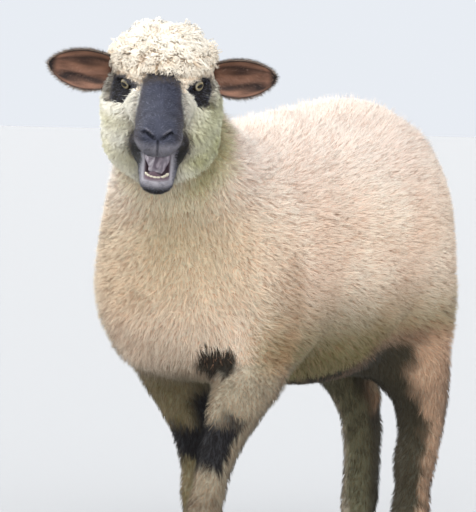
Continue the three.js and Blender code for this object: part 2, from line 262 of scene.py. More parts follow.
def limb(start: tuple, end: tuple, radius_a: float, radius_b: float, flat: float = 1.0) -> Field:
    """A rounded cone between two points.

    Args:
        start: Its first point.
        end: Its last point.
        radius_a: Its radius at the first point.
        radius_b: Its radius at the last point.
        flat: How many times wider it is across X.

    Returns:
        Its field.
    """
    widen = np.array([flat, 1, 1])
    a = np.array(start, float) / widen
    way = np.array(end, float) / widen - a

    def distance(points: Array) -> Array:
        """The cone's distance.

        Args:
            points: Places, in millimetres.

        Returns:
            The distance of each, in millimetres.
        """
        local = points / widen - a
        share = np.clip(local @ way / (way @ way), 0, 1)
        return size_of(local - share[:, None] * way) - radius_a - share * (radius_b - radius_a)

    return distance


def nearer(d: Array, e: Array, soft: float) -> Array:
    """The lesser of two distances, with the crease between them filled over a reach of `soft`."""
    h = np.maximum(soft - np.abs(d - e), 0) / soft
    return np.minimum(d, e) - h * h * soft / 4


def join(soft: float, *fields: Field) -> Field:
    """Fields joined, each crease filled to a depth of about `soft`."""
    return lambda points: reduce(lambda d, e: nearer(d, e, soft), (field(points) for field in fields))


def carve(soft: float, solid: Field, *hollows: Field) -> Field:
    """A field with others carved out of it, the rims rounded by `soft`."""
    return lambda points: -join(soft, lambda places: -solid(places), *hollows)(points)


def slope_of(distance: Field, points: Array, step: float = 0.4) -> Array:
    """The slope of a field, from four samples round each point."""
    corners = np.array([[1, -1, -1], [-1, -1, 1], [-1, 1, -1], [1, 1, 1]], float)
    return sum(c * distance(points + step * c)[:, None] for c in corners) / (4 * step)


def settled(distance: Field, points: Array, steps: int, stride: float) -> Array:
    """Points moved down a field's slope on to its surface.

    Args:
        distance: The field.
        points: Where they start.
        steps: How many moves are made.
        stride: The longest move.

    Returns:
        The moved points.
    """
    for _ in range(steps):
        slope = slope_of(distance, points)
        move = distance(points) / np.maximum(np.einsum("ij,ij->i", slope, slope), 0.2)
        move = np.clip(move, -stride, stride)
        points = points - slope * move[:, None]
    return points


# ---- Where the head is ----


@dataclass(frozen=True)
class HeadPlace:
    """The head's own frame in millimetres: -Y out of the nose, +X to its left, +Z through the crown."""

    drop: float = 17.0
    eye: Triple = (44.0, 5.0, 0.0)
    eye_radius: float = 14.5

    @cached_property
    def axes(self) -> Array:
        """Its axes as columns, from the line through the two eyeballs.

        Returns:
            A matrix of three by three.
        """
        left, right = (self.eyeball(side) for side in Side)
        across = (left - right).normalized()
        roll = -math.degrees(math.asin(across.z))
        turn = math.degrees(math.atan2(across.y, across.x))
        return turned((self.drop, roll, turn))

    @cached_property
    def origin(self) -> Array:
        """Its origin in the row frame, in metres."""
        middle = (self.eyeball(Side.LEFT) + self.eyeball(Side.RIGHT)) / 2
        return np.array(middle) - self.axes @ np.array([0, self.eye[1], self.eye[2]]) * MM

    @staticmethod
    def eyeball(side: Side) -> Vector:
        """The middle of the CAD eyeball on one side."""
        low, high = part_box(f"eye_{side.word}")
        return (low + high) / 2

    def local(self, points: Array) -> Array:
        """Points of the row frame in the head's own millimetres."""
        return (points - self.origin) @ self.axes / MM

    def world(self, points: Array) -> Array:
        """Points of the head's own millimetres in the row frame."""
        return points @ self.axes.T * MM + self.origin


HEAD = HeadPlace()


def mirrored(make: Callable[[int], Field]) -> list[Field]:
    """The left and the right one of a field."""
    return [make(side.value) for side in Side]


# The head's named forms, in its own millimetres.
SNOUT = join(
    18,
    egg((0, 37, 12), (56, 60, 50)),  # braincase
    limb((0, -8, -14), (0, -100, -33), 37, 25, 1.12),  # bridge of the nose
    limb((0, -10, -36), (0, -104, -43), 27, 21, 1.15),  # palate
    egg((0, -117, -39), (29, 24, 27)),  # nose and upper lip
    *mirrored(lambda s: limb((s * 36, 10, -6), (s * 25, -46, -24), 19, 12)),  # cheekbones
    *mirrored(lambda s: limb((s * 21, -72, -63), (s * 26, -20, -77), 8, 18)),  # corners of the mouth
)
FACE_WOOL = join(
    24,
    egg((0, 40, 23), (83, 70, 34)),  # crown
    egg((0, 45, 40), (56, 55, 37)),  # topknot
    egg((0, 6, 38), (60, 38, 24), (-10, 0, 0)),  # fringe
    *mirrored(lambda s: egg((s * 46, 26, -44), (42, 66, 72), (12, 0, 0))),  # cheeks
    *mirrored(lambda s: egg((s * 46, 32, -100), (35, 46, 42), (0, s * 12, 0))),  # ruff
    egg((0, 36, -120), (54, 50, 46)),  # ruff under the chin
    egg((0, 46, -56), (60, 56, 68)),  # throat
)
MOUTH_HOLLOW = limb((0, -124, -86), (0, -58, -78), 15, 8, 1.02)
MOUTH_FLOOR = limb((0, -97, -104), (0, -50, -80), 10.5, 10, 1.5)
JAW = carve(
    5,
    join(
        14,
        limb((0, -95, -114), (0, -18, -91), 17, 26, 1.34),  # chin and lower lip
        limb((0, -18, -91), (0, 40, -72), 27, 32, 1.3),  # bars of the jaw
    ),
    MOUTH_FLOOR,
)
BARE_INSET = 0.6


# ---- The coat's depth, lie and markings ----


@dataclass(frozen=True)
class LegLine:
    """The middle and the half width of one leg at each height, read from its CAD node."""

    heights: Array
    middles: Array
    radii: Array

    @classmethod
    def of(cls, node: str, slices: int = 16) -> "LegLine":
        """Slices a leg's node and keeps the middle of each slice.

        Args:
            node: The leg's node.
            slices: How many slices are taken.

        Returns:
            The leg's line.
        """
        co = np.array([v.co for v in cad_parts[node].data.vertices])
        edges = np.linspace(co[:, 2].min(), co[:, 2].max(), slices + 1)
        heights, middles, radii = [], [], []
        for low, high in zip(edges[:-1], edges[1:]):
            part = co[(co[:, 2] >= low - 0.006) & (co[:, 2] <= high + 0.006)]
            if len(part) < 4:
                continue
            corner_a, corner_b = part[:, :2].min(0), part[:, :2].max(0)
            heights.append((low + high) / 2)
            middles.append((corner_a + corner_b) / 2)
            radii.append(np.min(corner_b - corner_a) / 2)
        return cls(np.array(heights), np.array(middles), np.array(radii))

    def at(self, z: Array) -> tuple[Array, Array]:
        """The leg's middle, as x and y, and its half width at some heights."""
        middle = np.stack([np.interp(z, self.heights, self.middles[:, k]) for k in (0, 1)], -1)
        return middle, np.interp(z, self.heights, self.radii)


LEG_LINES = {node: LegLine.of(node) for node in LEG_NODES}


@dataclass(frozen=True)
class CoatDepth:
    """How deep the coat is over the skin, in millimetres."""

    body: float = 14.0
    cheek: float = 11.0
    topknot: float = 21.0
    lower_leg: float = 6.5
    pastern: float = 3.5

    def on_body(self, points: Array) -> Array:
        """The depth on the trunk, neck, tail and legs, at places of the row frame."""
        down_leg = (self.body - self.lower_leg) * ramp(points[:, 2], 0.36, 0.27)
        return self.body - down_leg - (self.lower_leg - self.pastern) * ramp(points[:, 2], 0.09, 0.04)

    def wool_over(self, local: Array) -> Array:
        """How far the head's wool reaches over places of the skin, in its own millimetres."""
        return np.clip(-FACE_WOOL(local), 3.5, self.on_face(local) + 3)

    def on_face(self, local: Array) -> Array:
        """The depth of the head's wool, at places in the head's own millimetres."""
        return self.cheek + (self.topknot - self.cheek) * ramp(local[:, 2], 0, 36)


DEPTH = CoatDepth()


# ---- Mesh tools ----


def linked(name: str, mesh: Mesh) -> Piece:
    """An object for a mesh, linked to the scene.

    Args:
        name: The object's name.
        mesh: Its mesh.

    Returns:
        The object, at the origin.
    """
    made = bpy.data.objects.new(name, mesh)
    bpy.context.scene.collection.objects.link(made)
    return made


def rows_of(items: bpy.types.bpy_prop_collection, name: str, width: int, kind: type = np.float32) -> Array:
    """Reads one property of many items.

    Args:
        items: The items.
        name: The property.
        width: How many numbers it has.
        kind: Their type.

    Returns:
        One row for each item.
    """
    values = np.empty(len(items) * width, kind)
    items.foreach_get(name, values)
    return values.reshape(-1, width)


def places_of(mesh: Mesh) -> Array:
    """The places of a mesh's vertices."""
    return rows_of(mesh.vertices, "co", 3).astype(float)


def put_places(mesh: Mesh, places: Array) -> None:
    """Moves a mesh's vertices to new places."""
    mesh.vertices.foreach_set("co", places.astype(np.float32).ravel())
    mesh.update()


def normals_of(mesh: Mesh) -> Array:
    """The normals of a mesh's vertices."""
    return rows_of(mesh.vertex_normals, "vector", 3).astype(float)


def edges_of(mesh: Mesh) -> Array:
    """A mesh's edges, as pairs of rows."""
    return rows_of(mesh.edges, "vertices", 2, np.int32)


def smoothed(mesh: Mesh, finish: Material) -> None:
    """Shades a piece's mesh smoothly, gives it its finish and reports it.

    Args:
        mesh: The mesh.
        finish: Its material.
    """
    mesh.polygons.foreach_set("use_smooth", np.ones(len(mesh.polygons), bool))
    mesh.materials.append(finish)
    log.info("%s: %d faces", mesh.name, len(mesh.polygons))


def piece_of(name: str, bm: bmesh.types.BMesh, finish: Material) -> Piece:
    """Turns a bmesh into a smooth piece.

    Args:
        name: The piece's name.
        bm: The bmesh, which is freed.
        finish: The piece's material.

    Returns:
        The piece.
    """
    mesh = bpy.data.meshes.new(name)
    bm.to_mesh(mesh)
    bm.free()
    smoothed(mesh, finish)
    return linked(name, mesh)


def merged_copy(name: str, nodes: tuple, swelling: float) -> Piece:
    """One object that holds copies of nodes, each swollen a little so that neighbours overlap.

    Args:
        name: The object's name.
        nodes: The nodes.
        swelling: How far each surface moves out, in metres.

    Returns:
        The object.
    """
    whole = bmesh.new()
    for node in nodes:
        part = bmesh.new()
        part.from_mesh(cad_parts[node].data)
        bmesh.ops.remove_doubles(part, verts=part.verts, dist=1e-6)
        part.normal_update()
        for vert in part.verts:
            vert.co += vert.normal * swelling
        held = bpy.data.meshes.new(node + "_copy")
        part.to_mesh(held)
        part.free()
        whole.from_mesh(held)
        bpy.data.meshes.remove(held)
    mesh = bpy.data.meshes.new(name)
    whole.to_mesh(mesh)
    whole.free()
    return linked(name, mesh)


def remeshed(piece: Piece, voxel: float) -> None:
    """Turns a piece of overlapping closed shapes into one closed skin of even squares.

    Args:
        piece: The piece.
        voxel: The size of its squares.
    """
    modifier = piece.modifiers.new("one_skin", "REMESH")
    modifier.mode = "VOXEL"
    modifier.voxel_size = voxel
    graph = bpy.context.evaluated_depsgraph_get()
    made = bpy.data.meshes.new_from_object(piece.evaluated_get(graph))
    old = piece.data
    piece.modifiers.clear()
    piece.data = made
    bpy.data.meshes.remove(old)


def evened(edges: Array, places: Array, rounds: int, hold: Array | None = None) -> Array:
    """Places smoothed along a mesh's edges, in pairs of steps in and out that keep its volume.

    Args:
        edges: The mesh's edges, as pairs of rows.
        places: The places to smooth.
        rounds: How many pairs of steps.
        hold: How much of each move a place makes, from 0 to 1.

    Returns:
        The smoothed places.
    """
    count = np.maximum(np.bincount(edges.ravel(), minlength=len(places)), 1)[:, None]
    share = 1 if hold is None else hold[:, None]
    for _ in range(rounds):
        for step in (0.6, -0.62):
            total = np.stack(
                [
                    np.bincount(edges[:, 0], places[edges[:, 1], k], len(places))
                    + np.bincount(edges[:, 1], places[edges[:, 0], k], len(places))
                    for k in range(3)
                ],
                -1,
            )
            places = places + (total / count - places) * step * share
    return places


def refine(piece: Piece, inside: Callable[[Array], Array]) -> None:
    """Splits each edge of a piece that lies inside a region.

    Args:
        piece: The piece.
        inside: Tells for places of the row frame whether each is inside.
    """
    work = bmesh.new()
    work.from_mesh(piece.data)
    chosen = inside(np.array([v.co for v in work.verts]))
    work.verts.index_update()
    edges = [e for e in work.edges if chosen[e.verts[0].index] and chosen[e.verts[1].index]]
    bmesh.ops.subdivide_edges(work, edges=edges, cuts=1, use_grid_fill=True)
    work.to_mesh(piece.data)
    work.free()


def unwrapped(piece: Piece, name: str) -> None:
    """Gives a piece a UV map that unwraps its own shape.

    Args:
        piece: The piece.
        name: The map's name.
    """
    piece.data.uv_layers.new(name=name)
    bpy.context.view_layer.objects.active = piece
    piece.select_set(True)
    bpy.ops.object.mode_set(mode="EDIT")
    bpy.ops.mesh.select_all(action="SELECT")
    bpy.ops.uv.smart_project(angle_limit=math.radians(66), island_margin=0.002)
    bpy.ops.object.mode_set(mode="OBJECT")
    piece.select_set(False)


# ---- The skin ----

NECK = limb(
    tuple(HEAD.local(np.array([-0.007, -0.172, 0.545]))),
    tuple(HEAD.local(np.array([0.027, -0.300, 0.690]))),
    138,
    71,
)


@dataclass(frozen=True)
class EyeAxes:
    """The frame of one eye: along its opening, up, and out of the pupil. Its angles are in degrees."""

    gaze: float = 43.0
    lift: float = -4.0
    lean: float = 6.0
    slant: float = 9.0

    def of(self, side: Side) -> Array:
        """The eye's axes as columns in the head's own frame.

        Args:
            side: Which eye.

        Returns:
            Along the opening to its back corner, up, and out.
        """
        gaze, lift = math.radians(self.gaze), math.radians(self.lift + self.lean * side.value)
        flat = math.cos(lift)
        out = np.array([side.value * math.sin(gaze) * flat, -math.cos(gaze) * flat, math.sin(lift)])
        level = unit(np.cross(out, np.array([0, 0, 1.0]))[None])[0] * -side.value
        up = np.cross(out, level)
        up *= np.sign(up[2])
        slant = math.radians(self.slant)
        along = level * math.cos(slant) + up * math.sin(slant)
        return np.stack([along, up * math.cos(slant) - level * math.sin(slant), out], -1)

    def centre(self, side: Side) -> Array:
        """The middle of the eyeball in the head's own millimetres."""
        return np.array([side.value * HEAD.eye[0], HEAD.eye[1], HEAD.eye[2]])

    def nearest(self, local: Array) -> Array:
        """The distance from places to the middle of the nearer eyeball, in millimetres."""
        return np.minimum(*(size_of(local - self.centre(side)) for side in Side))


EYE_AXES = EyeAxes()


@dataclass(frozen=True)
class Lids:
    """The lids: a thin round cover over each eyeball, with an almond opening of these angles in radians."""

    half_length: float = 0.96
    half_height: float = 0.56
    corners: float = 1.5
    thick: float = 2.3
    soft: float = 9.0
    reach: float = 40.0
    far: float = 9.0
    depth: float = 2.5

    def openness(self, local: Array, side: Side) -> tuple[Array, Array]:
        """How far places are from the middle of an opening, 1 on its edge, and from the eyeball's middle.

        Args:
            local: Places on the head.
            side: Which eye.

        Returns:
            The share of the way to the edge, and the distance from the eyeball's middle.
        """
        way = (local - EYE_AXES.centre(side)) @ EYE_AXES.of(side)
        reach = np.maximum(size_of(way), 1e-6)
        along = np.arctan2(way[:, 0], way[:, 2])
        up = np.arcsin(np.clip(way[:, 1] / reach, -1, 1))
        to_corner = (np.abs(along) / self.half_length) ** self.corners
        to_lid = (np.abs(up) / self.half_height) ** self.corners
        return np.where(reach < self.reach, (to_corner + to_lid) ** (1 / self.corners), self.far), reach

    def nearest(self, local: Array) -> Array:
        """How far places are from the middle of the nearer opening, 1 on its edge."""
        return np.minimum(*(self.openness(local, side)[0] for side in Side))

    def over(self, face: Field) -> Field:
        """A face with the lids laid over its eyeballs and opened.

        Args:
            face: The face's field.

        Returns:
            The field with the lids.
        """

        def cover(local: Array) -> Array:
            """The distance to the nearer closed cover."""
            return EYE_AXES.nearest(local) - HEAD.eye_radius - self.thick

        def opening(local: Array) -> Array:
            """The distance to the nearer opening.

            Args:
                local: Places on the head.

            Returns:
                The distance of each.
            """
            found = np.full(len(local), 1e3)
            for side in Side:
                q, reach = self.openness(local, side)
                gap = (q - 1) * self.half_height * HEAD.eye_radius
                found = np.minimum(found, np.maximum(gap, HEAD.eye_radius - self.depth - reach))
            return found

        return carve(2.0, join(self.soft, face, cover), opening)

    def relief(self, local: Array) -> Array:
        """How far the rims of the lids stand out and the folds round them sink in.

        Args:
            local: Places on the head.

        Returns:
            The rise of each, in millimetres.
        """
        rise = np.zeros(len(local))
        for side in Side:
            q, reach = self.openness(local, side)
            upper = ramp(((local - EYE_AXES.centre(side)) @ EYE_AXES.of(side))[:, 1], -2, 4)
            near = ramp(reach, 30, 22)
            rise += near * (0.5 * bump(q, 1.25, 0.3) - (0.5 + 0.9 * upper) * bump(q, 1.8, 0.28))
        return rise

    def wet(self, local: Array) -> Array:
        """How much a place is the bare rim of a lid or the socket inside it, from 0 to 1."""
        return ramp(self.nearest(local), 1.5, 1.2)


LIDS = Lids()


@dataclass(frozen=True)
class Muzzle:
    """The small forms of the nose and lips, as paths over the front of the muzzle, in millimetres."""

    nostril: tuple[Pair, ...] = (
        (20.5, -28.5),
        (16.5, -26.5),
        (12.0, -28.5),
        (8.0, -32.0),
        (4.5, -34.5),
    )
    nostril_depths: Row = (2.0, 7.0, 11.0, 8.0, 1.5)
    nostril_width: float = 2.1
    rim_gap: float = 5.0
    rim: Pair = (2.2, 2.6)
    wing: float = 1.8
    groove: Pair = (2.6, 1.6)
    dip: float = 1.6
    lobe: float = 2.4

    @staticmethod
    def along(places: Array, path: tuple, values: tuple) -> tuple[Array, Array]:
        """The nearest distance to a path of points and the value there.

        Args:
            places: Places across and up the muzzle.
            path: The path's points.
            values: A value at each point.

        Returns:
            Each place's distance and value.
        """
        best, held = np.full(len(places), 1e3), np.zeros(len(places))
        for (a, va), (b, vb) in zip(zip(path, values), zip(path[1:], values[1:])):
            a, b = np.array(a), np.array(b)
            t = np.clip((places - a) @ (b - a) / ((b - a) @ (b - a)), 0, 1)
            gap = size_of(places - a - t[:, None] * (b - a))
            nearer = gap < best
            best, held = np.where(nearer, gap, best), np.where(nearer, va + (vb - va) * t, held)
        return best, held

    @staticmethod
    def front(local: Array) -> Array:
        """How much a place is on the front of the muzzle, from 0 to 1."""
        return ramp(local[:, 1], -96, -108)

    def relief(self, local: Array) -> Array:
        """How far places of the skin stand out of the plain muzzle, in millimetres.

        Args:
            local: Places on the head.

        Returns:
            The rise, negative in the nostrils and folds.
        """
        x, _, z = folded(local)
        gap, depth = self.along(np.stack([x, z], -1), self.nostril, self.nostril_depths)
        above = tuple((px, pz + self.rim_gap) for px, pz in self.nostril[:4])
        to_rim, _ = self.along(np.stack([x, z], -1), above, (1, 1, 1, 1))
        rise = -depth * peak(gap, self.nostril_width)
        rise += self.rim[0] * peak(to_rim, self.rim[1])
        rise += self.wing * np.exp(-(((x - 19) / 6) ** 2) - ((z + 31) / 7) ** 2)
        rise -= self.groove[0] * peak(x, self.groove[1]) * ramp(z, -33, -38) * ramp(z, -68, -60)
        rise -= self.dip * peak(x, 7) * bump(z, -34, 8)
        rise += self.lobe * np.exp(-(((x - 14) / 9) ** 2) - ((z + 53) / 9) ** 2)
        return rise * self.front(local)

    def dark(self, local: Array) -> Array:
        """How much a place lies in a nostril or the groove under the nose, where shade is painted.

        Args:
            local: Places on the head.

        Returns:
            A share from 0 to 1.
        """
        x, _, z = folded(local)
        gap, _ = self.along(np.stack([x, z], -1), self.nostril, self.nostril_depths)
        groove = peak(x, 1.8) * ramp(z, -33, -38) * ramp(z, -68, -60)
        return np.maximum(peak(gap, 1.7), groove * 0.65) * self.front(local)

    def light(self, local: Array) -> Array:
        """How much a place lies on the rim over a nostril, where a highlight is painted.

        Args:
            local: Places on the head.

        Returns:
            A share from 0 to 1.
        """
        x, _, z = folded(local)
        above = tuple((px, pz + 4.2) for px, pz in self.nostril[1:4])
        gap, _ = self.along(np.stack([x, z], -1), above, (1, 1, 1))
        return peak(gap, 1.5) * self.front(local)


MUZZLE = Muzzle()


@dataclass
class Skin:
    """The one closed skin of the whole animal, with its face modelled in the head's own millimetres."""

    voxel: float = 0.0072
    swelling: float = 0.0006
    body_rounds: int = 30
    face_centre: Triple = (0, -50, -40)
    face_reach: Triple = (80, 105, 90)
    refined_reaches: Row = (1.1, 1.0)
    nose_way: Triple = (0, -0.97, 0.24)
    map_name: str = "skin_unwrap"

    def form(self, local: Array) -> Array:
        """The distance to the skin of the head and neck.

        Args:
            local: Places on the head.

        Returns:
            The distance of each, in millimetres.
        """

        def under_wool(places: Array) -> Array:
            """The distance to the skin under the head's wool."""
            return FACE_WOOL(places) + DEPTH.on_face(places)

        def under_neck(places: Array) -> Array:
            """The distance to the skin under the neck's wool."""
            return NECK(places) + DEPTH.body

        head = carve(9, join(16, SNOUT, under_wool), MOUTH_HOLLOW)
        return LIDS.over(join(7, join(30, under_neck, head), JAW))(local) + BARE_INSET

    def head_share(self, local: Array) -> Array:
        """How much of each place is the head's, from 0 on the body to 1."""
        return ramp(size_of(local - np.array([0, -25, -25])), 178, 148)

    def build(self) -> Piece:
        """Makes the skin.

        Returns:
            The skin's piece.
        """
        piece = merged_copy("sheep_skin", FLESH_NODES + EYE_NODES, self.swelling)
        remeshed(piece, self.voxel)
        unwrapped(piece, self.map_name)
        for reach in self.refined_reaches:
            refine(piece, lambda points, most=reach: self.from_face(points) < most)
        self.settle(piece)
        refine(piece, self.fine)
        self.detail(piece)
        return piece

    def from_face(self, points: Array) -> Array:
        """How far places of the row frame are from the middle of the face, 1 at its reach."""
        return size_of((HEAD.local(points) - self.face_centre) / self.face_reach)

    @staticmethod
    def fine(points: Array) -> Array:
        """Whether places are on the fine forms of the nose and the lids.

        Args:
            points: Places in the row frame.

        Returns:
            True or false for each.
        """
        local = HEAD.local(points)
        nose = (local[:, 1] < -100) & (local[:, 2] > -72) & (local[:, 2] < -10) & (np.abs(local[:, 0]) < 32)
        return nose | (LIDS.nearest(local) < 2.3)

    def settle(self, piece: Piece) -> None:
        """Moves the skin in from the coat's tips to its own place.

        Args:
            piece: The skin's piece.
        """
        mesh = piece.data
        edges, start = edges_of(mesh), places_of(mesh)
        body = evened(edges, start, self.body_rounds)
        put_places(mesh, body)
        body = body - normals_of(mesh) * DEPTH.on_body(body)[:, None] * MM
        local = HEAD.local(start)
        share = self.head_share(local)
        face = share > 0
        found = settled(self.form, local[face], 8, 4.0)
        head = body.copy()
        head[face] = HEAD.world(found)
        put_places(mesh, mixed(body, head, share))

    def detail(self, piece: Piece) -> None:
        """Settles the face again at its finest and forms the lids, the nostrils and the lips.

        Args:
            piece: The skin's piece.
        """
        mesh = piece.data
        places = places_of(mesh)
        local = HEAD.local(places)
        face = np.flatnonzero(self.head_share(local) >= 1)
        local[face] = settled(self.form, local[face], 3, 1.0)
        put_places(mesh, HEAD.world(local))
        normals = normals_of(mesh)[face] @ HEAD.axes
        near = local[face]
        near = near + np.array(self.nose_way) * MUZZLE.relief(near)[:, None]
        near = near + normals * LIDS.relief(near)[:, None]
        places[face] = HEAD.world(near)
        put_places(mesh, places)


# ---- Markings ----


@dataclass(frozen=True)
class Markings:
    """The colours of the skin and the coat by place, the same for both, with painted light and shade among
    them.
    """

    fleece: str = "f9edd9"
    fleece_rose: str = "e0c3aa"
    # Painted light: the fleece over the top of the back is paler where the light from above falls.
    painted_top_light: str = "f1e9df"
    rump: str = "a78b71"
    # Painted shade under the belly, olive with a painted green cast of bounced light.
    belly_shade: str = "6f6a35"
    ruff: str = "a9ab74"
    chest: str = "bbab7f"
    cheek: str = "fbf8e8"
    # Painted shade on the head's wool and the collar, darker towards the bottom of the cheeks.
    cheek_shade: str = "cfcaa2"
    cheek_grey: str = "b5b0a4"
    topknot: str = "f5eddd"
    topknot_tan: str = "d8bf9c"
    face: str = "343643"
    face_edge: str = "3c3637"
    # Painted highlight on the rims over the nostrils.
    nostril_rim_highlight: str = "85828a"
    # Painted sheen, lighter and bluer, down the lit middle of the bridge of the nose.
    painted_sheen: str = "41434f"
    # Near black: the lids' own black rims and the parting line down the bridge, and painted shade in the
    # nostrils, the groove under the nose, the sockets inside the lids and deep in the mouth.
    black_and_pit_shade: str = "0b0a0c"
    mouth: str = "5d4b53"
    lip: str = "959196"
    # Painted shade along the belly line between the legs, over somewhat darker wool.
    underside_shade: str = "2b281c"
    hock: str = "b89d83"
    # The far hind leg's olive brown, darkened by painted shade.
    shank_in_shade: str = "6a6953"
    shank_in_shade_rim: str = "a8a08d"
    # Painted shade in the folds behind the corners of the mouth, over dark hair, and under the chin.
    gape_shade: str = "0a090a"
    leg_tan: str = "938a76"
    # Painted shade, olive green, down the far foreleg.
    leg_olive_shade: str = "6e6749"
    leg_brown: str = "55483a"
    leg_dark: str = "413e32"
    leg_black: str = "212123"
    # Painted shade in the cleft between the chest and the near foreleg.
    armpit_shade: str = "0e0d0a"
    # crease: painted shade along the back edge of the shoulder.
    crease: str = "ac8d6d"
    tail: str = "a88c72"
    socket: str = "4d443b"
    rump_reach: Pair = (0.20, 0.42)
    rump_heights: Pair = (0.74, 0.60)
    top_heights: Pair = (0.50, 0.66)
    chest_reach: Pair = (-0.12, -0.30)
    chest_heights: Pair = (0.64, 0.52)
    throat_at: Pair = (-0.36, 0.16)
    throat_heights: Pair = (0.42, 0.54)
    collar_heights: Pair = (-15, -65)
    belly_shade_fade: Pair = (0.485, 0.335)
    armpit_shade_at: Triple = (0.068, -0.248, 0.346)
    armpit_shade_reach: Triple = (0.028, 0.05, 0.021)
    belly_shade_at: Row = (-0.20, 0.0, 0.07, 0.12, 0.14, 0.20)
    belly_shade_heights: Row = (0.289, 0.295, 0.309, 0.327, 0.356, 0.366)
    crease_heights: Row = (0.33, 0.36, 0.39, 0.43, 0.475, 0.53)
    crease_at: Row = (-0.179, -0.163, -0.153, -0.148, -0.146, -0.155)
    bare_at: Row = (-112, -100, -75, -60, -40, -20, 0)
    bare_widths: Row = (60, 38, 33, 30, 28, 25, 20)

    def bare_half(self, y: Array) -> Array:
        """Half the width of the bare face at places along the head, in its own millimetres."""
        return np.interp(y, self.bare_at, self.bare_widths)

    def woolly(self, local: Array) -> Array:
        """How woolly the head is at places.

        Args:
            local: Places on the head.

        Returns:
            A share from 0 on the bare face to 1.
        """
        x, y, z = folded(local)
        off_bridge = np.maximum(np.maximum(ramp(z, 25, 32), ramp(x, 17, 27)), ramp(y, 5, 30))
        wool = np.maximum(ramp(FACE_WOOL(local), -1.5, -7), ramp(y, 55, 75)) * off_bridge
        bare_half = self.bare_half(y)
        beside = ramp(x, bare_half - 2, bare_half + 6) * ramp(z, -62, -48)
        jaw = ramp(JAW(local) + ramp(y, -30, 10) * 40, 0, 12)
        left = local[:, 0] > 0
        left_patch = np.stack([(x - 47) * 0.75, (y + 12) * 0.8, (z + 1) * 1.4], -1)
        right_patch = np.stack([x - 52, (y + 7) * 0.85, z + 3], -1)
        patch = size_of(np.where(left[:, None], left_patch, right_patch))
        fray = swell(local, 9, 24)
        lids = LIDS.nearest(local) + 0.15 * fray
        round_lids = np.where(left, ramp(lids, 1.25, 1.75), ramp(lids, 1.35, 2.1))
        open_eye = np.minimum(ramp(patch + 1.5 * fray, 10, 20), round_lids)
        shut = np.maximum(1 - self.gaping(local), ramp(y, -20, 10))
        return np.minimum(np.minimum(np.maximum(wool, beside), jaw), np.minimum(open_eye, shut))

    def behind_shoulder(self, points: Array) -> tuple[Array, Array]:
        """Where places lie against the back edge of the shoulder.

        Args:
            points: Places in the row frame.

        Returns:
            How far each lies behind the edge, in metres, and how much the edge shows there.
        """
        z = points[:, 2]
        edge = np.interp(z, self.crease_heights, self.crease_at)
        behind = points[:, 1] - edge + 0.004 * swell(points, 0.04, 17)
        return behind, ramp(z, 0.56, 0.45) * ramp(z, 0.31, 0.34) * ramp(np.abs(points[:, 0]), 0.08, 0.12)

    def gaping(self, local: Array) -> Array:
        """How much a place lies in the fold behind a corner of the mouth, where painted shade darkens the
        dark hair.

        Args:
            local: Places on the head.

        Returns:
            A share from 0 to 1.
        """
        aside = np.where(local[:, 0] > 0, local[:, 0] - 37, -local[:, 0] - 33)
        fold = np.stack([aside / 12, (local[:, 1] + 56) / 32, (local[:, 2] + 91) / 23], -1)
        return ramp(size_of(fold) + 0.1 * swell(local, 12, 26), 1.2, 0.85)

    def head_share(self, local: Array) -> Array:
        """How much of a place is the head's, from 0 to 1."""
        return ramp(NECK(local) - np.minimum(SNOUT(local), FACE_WOOL(local)), -8, 8)

    def tint(self, points: Array) -> Array:
        """The colour of the coat's tips at some places.

        Args:
            points: Places in the row frame.

        Returns:
            Linear red, green and blue for each.
        """
        local = HEAD.local(points)
        x, y, z = folded(points)
        rose = 0.5 + 0.5 * swell(points, 0.19, 3) + 0.25 * swell(points, 0.045, 4)
        rose = rose * (0.6 + 0.4 * ramp(y, -0.3, 0.0))
        throat = bump(y, *self.throat_at) * ramp(z, *self.throat_heights)
        near_head = ramp(FACE_WOOL(local) + 6 * swell(local, 30, 27), 50, 4)
        collar = near_head * ramp(local[:, 2], *self.collar_heights)
        front = ramp(y, *self.chest_reach) * ramp(z, *self.chest_heights)
        low = ramp(z, *self.belly_shade_fade) * ramp(y + 0.1 * ramp(x, 0.08, 0.14), -0.22, -0.08)
        line = np.interp(y, self.belly_shade_at, self.belly_shade_heights) + 0.004 * swell(points, 0.03, 14)
        between_legs = ramp(y, -0.22, -0.12) * ramp(y, 0.30, 0.22)
        colour = layered(
            plain(self.fleece, len(points)),
            (self.fleece_rose, np.clip(rose, 0, 1) * 0.5),
            # painted light: the top of the back paler, as lit from above
            (self.painted_top_light, ramp(z, *self.top_heights) * 0.8),
            (self.rump, ramp(y, *self.rump_reach) * ramp(z, *self.rump_heights) * 0.65),
            (self.cheek, throat * 0.5),
            # painted shade on the throat
            (self.ruff, throat * 0.5 * ramp(local[:, 0], -50, 20)),
            (self.cheek, collar),
            # painted shade on the collar under the head
            (self.cheek_shade, collar * 0.5),
            # painted shade on the collar's left side, under the cheek
            (self.ruff, collar * ramp(local[:, 0], 10, 65) * 0.7),
            (self.chest, front * (0.2 + 0.25 * ramp(z, 0.38, 0.46))),
            # painted shade: the low belly darker and greener towards the bottom
            (self.belly_shade, low * 0.9),
            # painted shade in a band along the belly line between the legs
            (self.underside_shade, ramp(z, line + 0.004, line - 0.010) * between_legs * 0.95),
        )
        behind, shows = self.behind_shoulder(points)
        # painted shade along the back edge of the shoulder, darkest at the edge and fading forward
        crease = ramp(behind, -0.075, -0.004) * ramp(behind, 0.010, -0.002) * shows
